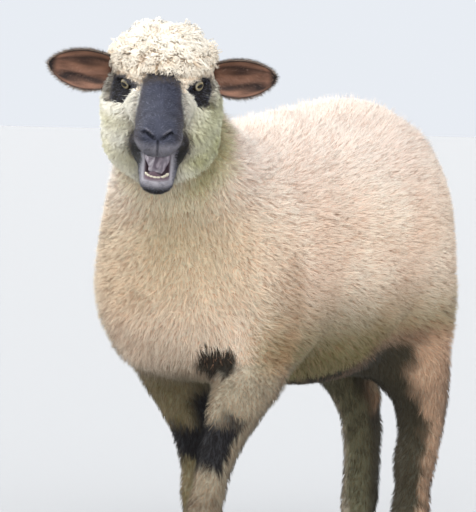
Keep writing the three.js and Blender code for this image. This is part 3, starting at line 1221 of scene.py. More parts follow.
        # painted shade in the cleft between the chest and the near foreleg
        armpit_shade = size_of((points - np.array(self.armpit_shade_at)) / np.array(self.armpit_shade_reach))
        armpit_shade = armpit_shade + 0.2 * swell(points, 0.03, 16)
        tail_low, tail_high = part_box("tail")
        on_tail = ramp(y, tail_low.y + 0.01, tail_low.y + 0.04) * ramp(x, 0.055, 0.035)
        colour = layered(
            self.on_legs(points, colour),
            (self.crease, crease * 0.5),
            (self.armpit_shade, ramp(armpit_shade, 1.5, 0.9) * 0.95),
            (self.tail, on_tail * ramp(z, tail_high.z, tail_high.z - 0.04) * 0.7),
        )
        head = mixed(self.bare_face(local), self.head_wool(local), self.woolly(local))
        return mixed(colour, head, self.head_share(local))

    def on_legs(self, points: Array, colour: Array) -> Array:
        """The legs' colours laid over others.

        Args:
            points: Places in the row frame.
            colour: The colour of each so far.

        Returns:
            The colour of each.
        """
        z = points[:, 2]
        for node, line in LEG_LINES.items():
            middle, radius = line.at(z)
            off = (points[:, :2] - middle) / radius[:, None]
            near = ramp(size_of(off), 2.3, 1.6) * ramp(z, 0.37, 0.31)
            ahead = -off[:, 1] + 0.15 * swell(points, 0.05, 11)
            mottled = 0.5 + 0.5 * swell(points, 0.022, 12)
            fray = 0.006 * swell(points, 0.03, 13)
            if node == "foreleg_left":
                inner = ahead - 0.35 * off[:, 0]
                black = ramp(inner, 0.0, 0.5) * ramp(np.abs(z - 0.231 + fray), 0.048, 0.026)
                brown = ramp(z, 0.19, 0.14) * (0.4 + 0.4 * mottled) * ramp(inner, -0.5, 0.4)
                base, shade, dark = self.leg_tan, self.leg_brown, self.leg_black
            elif node == "foreleg_right":
                inner = ahead + 0.5 * off[:, 0]
                black = ramp(inner, -0.35, 0.2) * ramp(np.abs(z - 0.210 + fray), 0.040, 0.016)
                # painted shade low on the inner side of the far foreleg
                black = np.maximum(black, ramp(off[:, 0], 0.35, 0.8) * ramp(z, 0.315, 0.29))
                # olive painted shade down the leg
                brown = np.maximum(ramp(z, 0.33, 0.30), ramp(z, 0.18, 0.13)) * (0.6 + 0.3 * mottled)
                base, shade, dark = self.leg_tan, self.leg_olive_shade, self.leg_black
            elif node == "hindleg_left":
                front = ahead - 0.5 * off[:, 0]
                black = ramp(front, 0.0, 0.6) * ramp(z, 0.375, 0.33)
                brown = ramp(z, 0.22, 0.13) * (0.3 + 0.4 * mottled)
                near = ramp(size_of(off), 2.3, 1.6) * ramp(z, 0.39, 0.34)
                base, shade, dark = self.hock, self.leg_brown, self.leg_dark
            else:
                aside = 0.857 * off[:, 0] + 0.515 * off[:, 1]
                stripes = swell(points * np.array([1, 1, 3.5]), 0.035, 15)
                black = ramp(stripes, -0.3, 0.9) * 0.65
                black = np.maximum(black, ramp(aside, 0.1, 0.6) * ramp(aside, 1.1, 0.85))
                brown = ramp(aside, -0.6, -0.95)
                # the far hind leg darker overall, by painted shade
                base, shade, dark = self.shank_in_shade, self.shank_in_shade_rim, self.leg_dark
            colour = layered(colour, (base, near), (shade, near * brown), (dark, near * black))
        return colour

    def head_wool(self, local: Array) -> Array:
        """The colour of the head's wool.

        Args:
            local: Places on the head.

        Returns:
            The colour of each.
        """
        x, y, z = folded(local)
        # painted shade, growing towards the bottom of the cheeks, in random patches
        shade_below = ramp(z, -10, -90) * 0.45 + 0.25 * swell(local, 40, 21)
        crown = ramp(z, -4, 12)
        return layered(
            plain(self.cheek, len(local)),
            (self.cheek_shade, np.clip(shade_below, 0, 1)),
            (self.cheek_grey, bump(x, self.bare_half(y) + 6, 12) * ramp(z, 5, -10) * 0.6),
            # painted shade low on the cheek of the head's left side
            (self.ruff, ramp(local[:, 0], 20, 70) * ramp(z, 0, -30) * 0.6),
            (self.cheek_grey, ramp(EYE_AXES.nearest(local), 36, 22) * 0.6),
            (self.topknot, crown),
            (self.topknot_tan, crown * ramp(swell(local, 14, 22), 0.6, 1.3) * 0.7),
            (self.topknot_tan, crown * ramp(z, 50, 22) * 0.3),
        )

    def bare_face(self, local: Array) -> Array:
        """The colour of the bare skin of the face, the lips and the mouth.

        Args:
            local: Places on the head.

        Returns:
            The colour of each.
        """
        x, y, z = folded(local)
        # painted sheen down the middle of the bridge of the nose
        sheen = ramp(x, 26, 6) * ramp(y, 20, -20) * ramp(z, -42, -30) * (0.75 + 0.25 * swell(local, 18, 23))
        seam = peak(x, 1.4) * ramp(z, -42, -30) * bump(y, -45, 35)
        eyes = EYE_AXES.nearest(local)
        socket = ramp(eyes, 16, 23) * ramp(y, -45, -25) * (0.65 + 0.35 * swell(local, 6, 25))
        muzzle = ramp(y, -84, -104) * ramp(z, -36, -50)
        hollow = np.minimum(MOUTH_HOLLOW(local), MOUTH_FLOOR(local))
        lip = ramp(hollow, 8.5, 4) * ramp(z, -127, -119)
        # painted shade under the chin
        chin = ramp(JAW(local), 6, 2) * ramp(hollow, 6, 11) * ramp(z, -84, -100)
        # painted shade in the folds behind the corners of the mouth and low under the lower lip
        fold = np.maximum(self.gaping(local), ramp(z, -117, -124)) * ramp(hollow, 3, 8)
        mouth = ramp(hollow, 2.5, 0.5)
        return layered(
            plain(self.face, len(local)),
            (self.face_edge, ramp(x, 18, 34)),
            (self.painted_sheen, sheen * 0.5),
            (self.black_and_pit_shade, seam * 0.3),
            (self.socket, socket),
            (self.lip, muzzle * 0.55),
            (self.lip, lip * 0.9),
            (self.gape_shade, chin * 0.8),
            # painted highlight on the rims over the nostrils
            (self.nostril_rim_highlight, MUZZLE.light(local) * 0.7),
            # painted shade in the nostrils, the groove under the nose and the sockets inside the lids, over
            # the black lid rims
            (self.black_and_pit_shade, np.maximum(MUZZLE.dark(local), LIDS.wet(local)) * 0.9),
            (self.gape_shade, fold),
            (self.mouth, mouth),
            # painted shade deeper in the mouth
            (self.black_and_pit_shade, mouth * ramp(y, -78, -58) * 0.8),
        )


MARKINGS = Markings()


# ---- The coat ----


@dataclass
class Ground:
    """The skin as triangles to root the coat in."""

    corners: Array
    normals: Array
    marks: Array
    areas: Array
    tree: BVHTree

    @classmethod
    def of(cls, piece: Piece, map_name: str) -> "Ground":
        """Reads a skin's triangles, normals and unwrap.

        Args:
            piece: The skin.
            map_name: Its UV map.

        Returns:
            The ground.
        """
        mesh = piece.data
        mesh.calc_loop_triangles()
        rows = rows_of(mesh.loop_triangles, "vertices", 3, np.int32)
        loops = rows_of(mesh.loop_triangles, "loops", 3, np.int32)
        marks = rows_of(mesh.uv_layers[map_name].data, "uv", 2)[loops]
        corners = places_of(mesh)[rows]
        areas = size_of(np.cross(corners[:, 1] - corners[:, 0], corners[:, 2] - corners[:, 0])) / 2
        tree = BVHTree.FromPolygons(places_of(mesh).tolist(), rows.tolist())
        return cls(corners, normals_of(mesh)[rows], marks, areas, tree)

    def clear(self, places: Array, least: Array) -> Array:
        """How far places have to move to stand a least height over the skin.

        Args:
            places: The places.
            least: The least height of each, in metres.

        Returns:
            A move for each place, nothing where it is high enough.
        """
        moves = np.zeros_like(places)
        for row, place in enumerate(places):
            spot, normal, _, distance = self.tree.find_nearest(place, 0.03)
            if spot is None:
                continue
            out = np.array(normal)
            height = float(out @ (place - np.array(spot)))
            height = math.copysign(distance, height)
            if height < least[row]:
                moves[row] = out * (least[row] - height)
        return moves

    def scatter(self, spacing: float, wanted: Callable[[Array], Array], seed: int) -> "Roots":
        """Places roots evenly where they are wanted.

        Args:
            spacing: How far apart they are, in metres.
            wanted: Gives the share of the roots that is kept at each place.
            seed: Which of many such scatters.

        Returns:
            The roots.
        """
        rng = np.random.default_rng(seed)
        share = wanted(self.corners.mean(1))
        areas = self.areas * (share > 0)
        tries = int(4.0 * areas.sum() / spacing**2)
        rows = rng.choice(len(areas), tries, p=areas / areas.sum())
        a, b = rng.random((2, tries))
        flip = a + b > 1
        a, b = np.where(flip, 1 - a, a), np.where(flip, 1 - b, b)
        weights = np.stack([1 - a - b, a, b], -1)[..., None]
        places = (self.corners[rows] * weights).sum(1)
        first = first_in_cells(places, spacing * 1.2)
        first = first[rng.random(len(first)) < share[rows[first]]]
        rows, weights = rows[first], weights[first]
        normals = unit((self.normals[rows] * weights).sum(1))
        return Roots(places[first], normals, (self.marks[rows] * weights).sum(1))


@dataclass
class Roots:
    """Where tufts leave the skin: places, normals and places on its unwrap."""

    places: Array
    normals: Array
    marks: Array

    def __len__(self) -> int:
        """How many there are."""
        return len(self.places)

    def where(self, chosen: Array) -> "Roots":
        """The chosen ones."""
        return Roots(self.places[chosen], self.normals[chosen], self.marks[chosen])


@dataclass(frozen=True)
class TuftShape:
    """The size of one kind of tuft, in metres, and how it grows."""

    length: float
    width: float
    thick: float
    spacing: float
    rings: int = 2
    ragged: float = 0.25
    clump: float = 0.5
    clump_spacing: float = 0.010
    stray: float = 0.14
    contrary: float = 0.0
    curl: float = 0.0
    turns: float = 0.0
    soften: float = 0.6
    mottle: float = 0.06
    flecks: float = 0.0
    fleck: str = "b28d72"
    # root_shade and rose paint shade at the roots, deep in the coat, darker and pink brown towards
    # root_rose.
    root_shade: float = 0.84
    rose: float = 0.28
    root_rose: str = "9a6b4e"
    patch: float = 0.003


class Coat:
    """Grows tufts as joined meshes of closed three-sided spikes."""

    most_faces = 190_000

    def __init__(self, ground: Ground) -> None:
        """Keeps the ground that the tufts are rooted in."""
        self.ground = ground
        self.triangles = 0

    def grow(
        self,
        name: str,
        slot: Slot,
        shape: TuftShape,
        roots: Roots,
        way: Callable[[Array, Array], Array],
        height: Array,
        finish: Material,
        tint: Callable[[Array], Array] = MARKINGS.tint,
        seed: int = SEED,
        sizes: Array | float = 1.0,
    ) -> list[Piece]:
        """Grows tufts from roots and makes as many pieces as their count needs.

        Args:
            name: The pieces' name.
            slot: Their material slot; not used.
            shape: The tufts' shape.
            roots: Where they are rooted.
            way: Gives the way that the coat lies at places with normals.
            height: How high each tip stands over the skin, in metres.
            finish: Their material.
            tint: Gives the tips' colours at places.
            seed: The seed of their differences.
            sizes: How long each is against its shape's length.

        Returns:
            The pieces.
        """
        rng = np.random.default_rng(seed)
        count = len(roots)
        ends = self.ends(shape, roots, way, height, rng, sizes)
        ends = ends + self.ground.clear(roots.places + ends, height * 0.55)
        faces_each = 3 * 2 * (shape.rings - 1) + 4
        share = max(1, self.most_faces // faces_each)
        order = np.argsort(roots.places[:, 1], kind="stable")
        colours = self.colours(shape, tint(roots.places), rng)
        looks = rng.random((count, 4))
        pieces = []
        batches = range(0, count, share)
        for number, start in enumerate(batches):
            rows = order[start : start + share]
            label = name if len(batches) == 1 else f"{name}_{number + 1}"
            piece = self.mesh_of(label, shape, roots, rows, ends, colours, looks)
            piece.data.materials.append(finish)
            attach(piece, "root")
            pieces.append(piece)
            self.triangles += len(piece.data.polygons)
        log.info("%s: %d tufts in %d pieces", name, count, len(pieces))
        return pieces

    @staticmethod
    def ends(
        shape: TuftShape,
        roots: Roots,
        way: Callable[[Array, Array], Array],
        height: Array,
        rng: np.random.Generator,
        sizes: Array | float,
    ) -> Array:
        """Each tuft's tip from its root, drawn towards the tip of the lock that it belongs to.

        Args:
            shape: The tufts' shape.
            roots: Where they are rooted.
            way: Gives the way that the coat lies at places with normals.
            height: How high each tip stands over the skin, in metres.
            rng: Draws their differences.
            sizes: How long each is against its shape's length.

        Returns:
            The way from each root to its tip, in metres.
        """
        count = len(roots)
        heads = first_in_cells(roots.places, shape.clump_spacing)
        tree = KDTree(len(heads))
        for row, head in enumerate(heads):
            tree.insert(roots.places[head], row)
        tree.balance()
        lock = heads[np.array([tree.find(p)[1] for p in roots.places])]
        lie = way(roots.places, roots.normals)
        across = np.cross(roots.normals, lie)
        lean = rng.normal(size=count)[lock] * shape.stray + rng.normal(size=count) * shape.stray * 0.6
        lie = unit(lie + across * lean[:, None])
        lie = lie * np.where(rng.random(count) < shape.contrary, -1, 1)[:, None]
        longer = rng.random(count)[lock] * 1.2 + rng.random(count) * 0.8 - 1
        reach = shape.length * sizes * (1 + shape.ragged * longer)
        higher = rng.random(count)[lock] + rng.random(count) - 1.2
        rise = height * (1 + shape.ragged * 0.6 * higher)
        flat = np.sqrt(np.maximum(reach**2 - rise**2, (0.25 * reach) ** 2))
        own = lie * flat[:, None] + roots.normals * rise[:, None]
        drawn = roots.places[lock] + own[lock] - roots.places
        return mixed(own, drawn, np.full(count, shape.clump))

    @staticmethod
    def colours(shape: TuftShape, tips: Array, rng: np.random.Generator) -> tuple[Array, Array]:
        """The colours of each tuft's root and tip.

        Args:
            shape: The tufts' shape.
            tips: The colour of each tip by the markings.
            rng: Draws their differences.

        Returns:
            The colours of the roots and those of the tips.
        """
        light = 1 + shape.mottle * rng.normal(size=len(tips))
        tips = mixed(tips, tone(shape.fleck), (rng.random(len(tips)) < shape.flecks) * 0.6)
        tips = np.clip(tips * np.clip(light, 0.6, 1.3)[:, None], 0, 1)
        # painted shade at the roots, deep in the coat, with a pink brown cast
        roots = tips * shape.root_shade
        hue = tone(shape.root_rose)
        return mixed(roots, roots * hue / hue.mean(), np.full(len(tips), shape.rose)), tips

    @staticmethod
    def mesh_of(
        label: str, shape: TuftShape, roots: Roots, rows: Array, ends: Array, colours: tuple, looks: Array
    ) -> Piece:
        """Makes one piece from the tufts in some rows.

        Args:
            label: The piece's name.
            shape: The tufts' shape.
            roots: All roots.
            rows: The rows that the piece holds.
            ends: Each tuft's tip from its root.
            colours: The colours of the roots and of the tips.
            looks: Four random numbers for each tuft.

        Returns:
            The piece.
        """
        base, normal, end, look = roots.places[rows], roots.normals[rows], ends[rows], looks[rows]
        rise = np.einsum("ij,ij->i", end, normal)[:, None] * normal
        flat = end - rise
        side = unit(np.cross(normal, flat))
        sides, rings = 3, shape.rings
        steps = rings * sides + 1
        co = np.empty((len(rows), steps, 3))
        tint = np.empty((len(rows), steps, 3))
        lit = np.empty((len(rows), steps, 3))
        uv = np.empty((len(rows), steps, 2))
        width = shape.width * (0.8 + 0.4 * look[:, :1])
        thick = shape.thick * (0.8 + 0.4 * look[:, 1:2])
        spin = look[:, 2:3] * math.tau
        root_tint, tip_tint = colours[0][rows], colours[1][rows]
        for ring in range(rings + 1):
            t = ring / rings
            sunk = ROOT_SUNK if ring == 0 else 0
            centre = base + rise * (1 - (1 - t) ** 1.7) + flat * t**1.35 - normal * sunk
            if shape.curl:
                angle = spin + t * shape.turns * math.tau * (1 if shape.turns > 0 else -1)
                sway = shape.curl * math.sin(math.pi * min(t * 1.15, 1) ** 0.8) + shape.curl * 0.4 * t
                centre = centre + (side * np.cos(angle) + normal * np.sin(angle) * 0.8) * sway
            full = (0.75 + 0.5 * t if ring < 1 else 1.0 - 0.45 * (t**2)) if ring < rings else 0
            shade = min(1.0, t * 1.25) ** 0.8
            colour = root_tint + (tip_tint - root_tint) * shade
            spots = range(ring * sides, ring * sides + sides) if ring < rings else [rings * sides]
            for corner, spot in enumerate(spots):
                a = math.tau * (corner + 0.25) / sides
                outward = side * math.cos(a) + normal * math.sin(a)
                co[:, spot] = centre + (side * math.cos(a) * width + normal * math.sin(a) * thick) * full / 2
                facing = normal * shape.soften + outward * (1 - shape.soften)
                lit[:, spot] = unit(facing + unit(flat) * 0.15 * t)
                tint[:, spot] = colour
                uv[:, spot] = roots.marks[rows] + shape.patch * np.array([math.cos(a) * 0.45, t - 0.5])
        faces = []
        for ring in range(rings - 1):
            for corner in range(sides):
                a, b = ring * sides + corner, ring * sides + (corner + 1) % sides
                faces += [[a, b, b + sides], [a, b + sides, a + sides]]
        last = (rings - 1) * sides
        faces += [[last + c, last + (c + 1) % sides, rings * sides] for c in range(sides)] + [[2, 1, 0]]
        faces = (np.array(faces)[None] + (np.arange(len(rows)) * steps)[:, None, None]).reshape(-1, 3)
        co, tint, lit = (values.reshape(-1, 3) for values in (co, tint, lit))
        return array_piece(label, co, faces, tint, uv.reshape(-1, 2), lit)


def array_piece(label: str, co: Array, faces: Array, tint: Array, uv: Array, lit: Array) -> Piece:
    """One piece from arrays of many small closed shapes.

    Args:
        label: The piece's name.
        co: The places of its vertices.
        faces: Its triangles, as rows of vertices.
        tint: The colour of each vertex.
        uv: The place of each vertex on the skin's unwrap.
        lit: The normal that each vertex is lit with.

    Returns:
        The piece.
    """
    mesh = bpy.data.meshes.new(label)
    mesh.vertices.add(len(co))
    mesh.loops.add(faces.size)
    mesh.polygons.add(len(faces))
    mesh.vertices.foreach_set("co", co.astype(np.float32).ravel())
    mesh.loops.foreach_set("vertex_index", faces.astype(np.int32).ravel())
    mesh.polygons.foreach_set("loop_start", np.arange(0, faces.size, 3, dtype=np.int32))
    mesh.polygons.foreach_set("use_smooth", np.ones(len(faces), bool))
    mesh.update(calc_edges=True)
    paint(mesh, tint)
    mesh.uv_layers.new(name="OFBake").data.foreach_set("uv", uv[faces.ravel()].astype(np.float32).ravel())
    mesh.normals_split_custom_set_from_vertices(lit.astype(np.float32))
    return linked(label, mesh)


def paint(mesh: Mesh, tint: Array) -> None:
    """Writes a colour for each vertex to the attribute that the finishes read.

    Args:
        mesh: The mesh.
        tint: Linear red, green and blue for each vertex.
    """
    colours = np.ones((len(tint), 4), np.float32)
    colours[:, :3] = tint
    held = mesh.color_attributes.new(name="tint", type="FLOAT_COLOR", domain="POINT")
    held.data.foreach_set("color", colours.ravel())


# ---- The lie of the coat ----


def body_way(places: Array, normals: Array) -> Array:
    """The way that the fleece lies on the trunk, neck, tail and legs.

    Args:
        places: Where.
        normals: The skin's normals there.

    Returns:
        Directions along the skin.
    """
    y, z = places[:, 1], places[:, 2]
    down = 0.28 + 0.9 * ramp(y, 0.05, -0.30) + 0.75 * ramp(y, 0.22, 0.44)
    leg = ramp(z, 0.36, 0.27)
    back = 1 - 0.72 * ramp(y, -0.10, -0.32) - 0.35 * ramp(y, 0.30, 0.46)
    way = np.stack([0 * y, back * (1 - 0.85 * leg), -down - 1.5 * leg], -1)
    way = flattened(way + normals[:, :1] * np.array([0.12, 0, 0]), normals)
    sway = 0.22 * swell(places, 0.12, 31) + 0.10 * swell(places, 0.035, 32)
    return unit(way + np.cross(normals, way) * sway[:, None])


def head_way(places: Array, normals: Array) -> Array:
    """The way that the head's wool and hair lie: back from the nose, down the brow, away from the eyes.

    Args:
        places: Where.
        normals: The skin's normals there.

    Returns:
        Directions along the skin.
    """
    local = HEAD.local(places)
    x, y, z = local.T
    side = np.clip(x / 40, -1, 1)
    crown = ramp(z, 8, 26)
    cheek = np.stack([side * 0.5, 0.3 + 0 * side, -0.9 + 0 * side], -1)
    ahead = ramp(y, 45, 0)
    top = np.stack([side * 0.9, 0.9 - 2.0 * ahead, -0.55 * ahead - 0.35 * np.abs(side)], -1)
    bridge = np.stack([np.tanh(x / 6) * 0.9, 0.35 + 0 * side, -0.2 + 0 * side], -1)
    beside = np.stack([side * 1.2, 0.25 + 0 * side, -0.35 + 0 * side], -1)
    bare_half = np.interp(y, MARKINGS.bare_at, MARKINGS.bare_widths)
    way = mixed(cheek, beside, ramp(y, 10, -30) * ramp(np.abs(x), bare_half + 26, bare_half + 8))
    way = mixed(way, bridge, ramp(np.abs(x), bare_half + 3, bare_half - 3) * ramp(y, 5, -15))
    way = mixed(way, top, crown)
    for eye in Side:
        away = local - EYE_AXES.centre(eye)
        distance = size_of(away)
        below = ramp(z, 20, 6)
        ahead_of_eye = ramp(y, 12, -8)
        way = mixed(way, away / distance[:, None] * 1.3, ramp(distance, 28, 20) * below * ahead_of_eye * 0.5)
    way = flattened(way @ HEAD.axes.T, normals)
    sway = 0.2 * swell(places, 0.03, 41)
    return unit(way + np.cross(normals, way) * sway[:, None])


# ---- Finishes ----


class Graph:
    """The nodes of a new material."""

    def __init__(self, name: str, sockets: dict[str, float]) -> None:
        """Makes the material and sets its shader's own sockets.

        Args:
            name: The material's name.
            sockets: The values of the shader's sockets.
        """
        self.made = bpy.data.materials.new(name)
        self.made.use_nodes = True
        self.nodes, self.links = self.made.node_tree.nodes, self.made.node_tree.links
        self.shader = self.nodes["Principled BSDF"]
        self.fill(self.shader, sockets)

    def fill(self, node: bpy.types.Node, inputs: dict) -> None:
        """Gives inputs of a node their values.

        Args:
            node: The node.
            inputs: A number, a colour or another node's output for each input.
        """
        for name, value in inputs.items():
            if isinstance(value, bpy.types.NodeSocket):
                self.links.new(value, node.inputs[name])
            else:
                node.inputs[name].default_value = value

    def add(self, kind: str, **settings: str) -> bpy.types.Node:
        """Adds a node.

        Args:
            kind: Its kind, such as "Bump".
            settings: Its settings by name.

        Returns:
            The node.
        """
        node = self.nodes.new("ShaderNode" + kind)
        for name, value in settings.items():
            setattr(node, name, value)
        return node

    def given(self, kind: str, inputs: dict, **settings: str) -> bpy.types.Node:
        """Adds a node with its settings and the values of its inputs."""
        node = self.add(kind, **settings)
        self.fill(node, inputs)
        return node


@dataclass(frozen=True)
class Finish:
    """A finish that takes its colour from the tint attribute, with grain and bump."""

    name: str
    rough: float = 0.9
    sheen: float = 0.0
    grain: float = 0.15
    grain_scale: float = 900.0
    bump: float = 0.0
    bump_scale: float = 700.0
    specular: float = 0.3
    coat: float = 0.0

    def material(self) -> Material:
        """Builds the material.

        Returns:
            The material.
        """
        sockets = {"Roughness": self.rough, "Sheen Weight": self.sheen, "Coat Weight": self.coat}
        graph = Graph(self.name, {**sockets, "Specular IOR Level": self.specular})
        place = graph.add("TexCoord").outputs["Object"]
        noise = graph.given("TexNoise", {"Scale": self.grain_scale, "Vector": place}).outputs["Fac"]
        grain = graph.given("MapRange", {"Value": noise, "To Min": 1 - self.grain, "To Max": 1 + self.grain})
        tint = graph.add("Attribute", attribute_name="tint").outputs["Color"]
        colour = graph.given("VectorMath", {0: tint, "Scale": grain.outputs["Result"]}, operation="SCALE")
        graph.fill(graph.shader, {"Base Color": colour.outputs["Vector"]})
        if self.bump:
            relief = graph.given("TexNoise", {"Scale": self.bump_scale, "Vector": place}).outputs["Fac"]
            raised = graph.given("Bump", {"Distance": self.bump * MM, "Height": relief})
            graph.fill(graph.shader, {"Normal": raised.outputs["Normal"]})
        return graph.made


# ---- The sheep ----


@dataclass
class Fleece:
    """All of the coat, region by region, and the shapes of its tufts."""

    coat: Coat
    wool: Material
    hair: Material
    body: TuftShape = TuftShape(
        0.019, 0.0020, 0.0012, 0.0020, rings=1, clump=0.35, clump_spacing=0.006, soften=0.7, mottle=0.1,
        flecks=0.12, stray=0.35, contrary=0.2,
    )
    wisp: TuftShape = TuftShape(
        0.018, 0.0018, 0.0012, 0.0060, rings=1, ragged=0.5, clump=0.6, clump_spacing=0.016, stray=0.9
    )
    leg: TuftShape = TuftShape(
        0.013, 0.0019, 0.0011, 0.0024, rings=1, clump=0.4, clump_spacing=0.006, ragged=0.45, stray=0.25,
        mottle=0.15,
    )
    tail: TuftShape = TuftShape(
        0.022, 0.0018, 0.0012, 0.0023, clump=0.4, clump_spacing=0.008, ragged=0.35, stray=0.2
    )
    cheek: TuftShape = TuftShape(
        0.013, 0.0013, 0.0009, 0.0014, clump=0.45, clump_spacing=0.004, ragged=0.5, stray=0.45,
        root_shade=0.87, rose=0.1,
    )
    curls: TuftShape = TuftShape(
        0.021, 0.0024, 0.0019, 0.0017, rings=5, ragged=0.3, clump=0.4, clump_spacing=0.009, stray=1.2,
        curl=0.0030, turns=1.6, soften=0.85, root_shade=0.92, rose=0.3, root_rose="c39a74",
    )
    loose_curls: TuftShape = TuftShape(
        0.022, 0.0015, 0.0011, 0.0017, rings=5, ragged=0.6, clump=0.75, clump_spacing=0.013, stray=1.5,
        curl=0.0024, turns=1.2, soften=0.7, root_shade=0.9, rose=0.2, root_rose="c39a74",
    )
    # The face hair's light bluish flecks are painted glints on the black hair.
    face_fur: TuftShape = TuftShape(
        0.006, 0.0012, 0.0007, 0.0013, rings=1, clump=0.0, stray=0.3, mottle=0.35, root_shade=0.5, rose=0,
        flecks=0.3, fleck="747789",
    )
    face_fur_height: float = 0.0012
    leg_top: float = 0.345
    leg_reach: float = 1.7
    tail_heights: Row = (0.40, 0.55, 0.68)
    tail_fronts: Row = (0.43, 0.44, 0.40)

    def kinds(self, places: Array) -> dict[Region, Array]:
        """How much of each place belongs to each region of the coat.

        Args:
            places: Places of the row frame.

        Returns:
            For each region, a share from 0 to 1 at each place.
        """
        local, z = HEAD.local(places), places[:, 2]
        head = MARKINGS.head_share(local) > 0.5
        woolly = MARKINGS.woolly(local)
        crown = ramp(local[:, 2], -4, 6) > 0.5
        low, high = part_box("tail")
        tail = (places[:, 1] > low.y + 0.02) & (np.abs(places[:, 0]) < 0.05) & (z < high.z) & (z > low.z)
        tail &= places[:, 1] > np.interp(z, self.tail_heights, self.tail_fronts)
        near_leg = np.zeros(len(places), bool)
        for line in LEG_LINES.values():
            middle, radius = line.at(z)
            near_leg |= size_of(places[:, :2] - middle) < radius * self.leg_reach
        leg = (z < self.leg_top) & ~head & near_leg
        mouth = (JAW(local) < 3) & (MOUTH_HOLLOW(local) < 4) | (MOUTH_FLOOR(local) < 3)
        bare = (head & ~mouth) * ramp(woolly, 0.6, 0.4) * (MUZZLE.dark(local) < 0.5)
        return {
            Region.TOPKNOT: head & crown & (woolly > 0.4),
            Region.CHEEK: (head & ~crown) * ramp(woolly, 0.2, 0.6),
            Region.FACE: bare * (1 - 0.9 * MARKINGS.gaping(local)),
            Region.LEG: leg,
            Region.TAIL: tail,
            Region.FLEECE: ~head & ~leg & ~tail,
        }

    def sown(self, shape: TuftShape, region: Region, seed: int) -> Roots:
        """Places the roots of one kind of tuft over its region.

        Args:
            shape: The tufts' shape.
            region: Where they grow.
            seed: Which of many such scatters.

        Returns:
            The roots.
        """
        return self.coat.ground.scatter(shape.spacing, lambda p: self.kinds(p)[region].astype(float), seed)

    def build(self) -> None:
        """Grows every region's tufts."""
        self.clothe_body()
        self.clothe_legs()
        self.clothe_tail()
        self.clothe_cheeks()
        self.clothe_crown()
        self.clothe_face()

    def clothe_body(self) -> None:
        """Grows the fleece, with a step behind the shoulder, and the wisps that stand out of it."""
        roots = self.sown(self.body, Region.FLEECE, 1)
        behind, shows = MARKINGS.behind_shoulder(roots.places)
        step = shows * (0.2 * bump(behind, -0.020, 0.028) - 0.4 * bump(behind, 0.010, 0.018))
        deep = DEPTH.on_body(roots.places) * MM * (1 + step)
        self.coat.grow("fleece", Slot.FLEECE, self.body, roots, body_way, deep, self.wool)
        roots = self.sown(self.wisp, Region.FLEECE, 8)
        rise = 1.18 + 0.42 * ramp(roots.places[:, 2], 0.60, 0.70)
        deep = DEPTH.on_body(roots.places) * MM * rise
        self.coat.grow("wisps", Slot.FLEECE, self.wisp, roots, body_way, deep, self.wool)

    def clothe_legs(self) -> None:
        """Grows the short wool of the legs, longer over the hocks."""
        roots = self.sown(self.leg, Region.LEG, 2)
        deep = DEPTH.on_body(roots.places) * MM * 0.9
        shaggy = 1 + 0.6 * ramp(roots.places[:, 1], 0.25, 0.36) * ramp(roots.places[:, 2], 0.20, 0.26)
        self.coat.grow("leg_wool", Slot.LEG_WOOL, self.leg, roots, body_way, deep, self.wool, sizes=shaggy)

    def clothe_tail(self) -> None:
        """Grows the long wool of the tail."""
        roots = self.sown(self.tail, Region.TAIL, 3)
        deep = DEPTH.on_body(roots.places) * MM
        self.coat.grow("tail_wool", Slot.TAIL_WOOL, self.tail, roots, body_way, deep, self.wool)

    def clothe_cheeks(self) -> None:
        """Grows the wool of the cheeks and the ruff, shorter round the eyes."""
        roots = self.sown(self.cheek, Region.CHEEK, 4)
        local = HEAD.local(roots.places)
        thin = 0.35 + 0.65 * ramp(EYE_AXES.nearest(local), 20, 42)
        deep = DEPTH.wool_over(local) * MM * thin
        grow, sizes = self.coat.grow, 0.4 + 0.6 * thin
        grow("cheek_wool", Slot.FACE_WOOL, self.cheek, roots, head_way, deep, self.wool, sizes=sizes)

    def clothe_crown(self) -> None:
        """Grows the curls of the topknot, highest in two peaks, and the loose ones over them."""
        roots = self.sown(self.curls, Region.TOPKNOT, 5)
        local = HEAD.local(roots.places)
        x, z = local[:, 0], local[:, 2]
        brow = (0.35 + 0.65 * ramp(z, 12, 38)) * ramp(EYE_AXES.nearest(local), 8, 32)
        peaks = peak(x + 24, 13) + peak(x - 30, 12)
        lower = 1 - 0.42 * ramp(z, 42, 62) * ramp(np.abs(x), 62, 45) * (1 - np.clip(peaks, 0, 1))
        wide = 1 + 0.25 * ramp(np.abs(x), 45, 70)
        deep = DEPTH.wool_over(local) * MM * brow * lower * (0.95 + 0.2 * ramp(np.abs(x), 45, 70))
        grow = self.coat.grow
        grow("topknot", Slot.FACE_WOOL, self.curls, roots, head_way, deep, self.wool, sizes=brow * wide)
        pick = np.random.default_rng(51).random(len(roots)) < 0.22 * ramp(z, 20, 34)
        few, deep = roots.where(pick), deep[pick] * 1.4
        grow("topknot_wisps", Slot.FACE_WOOL, self.loose_curls, few, head_way, deep, self.wool)

    def clothe_face(self) -> None:
        """Grows the short flat hair of the bare face."""
        roots = self.sown(self.face_fur, Region.FACE, 6)
        deep = np.full(len(roots), self.face_fur_height)
        self.coat.grow("face_hair", Slot.BARE_SKIN, self.face_fur, roots, head_way, deep, self.hair)


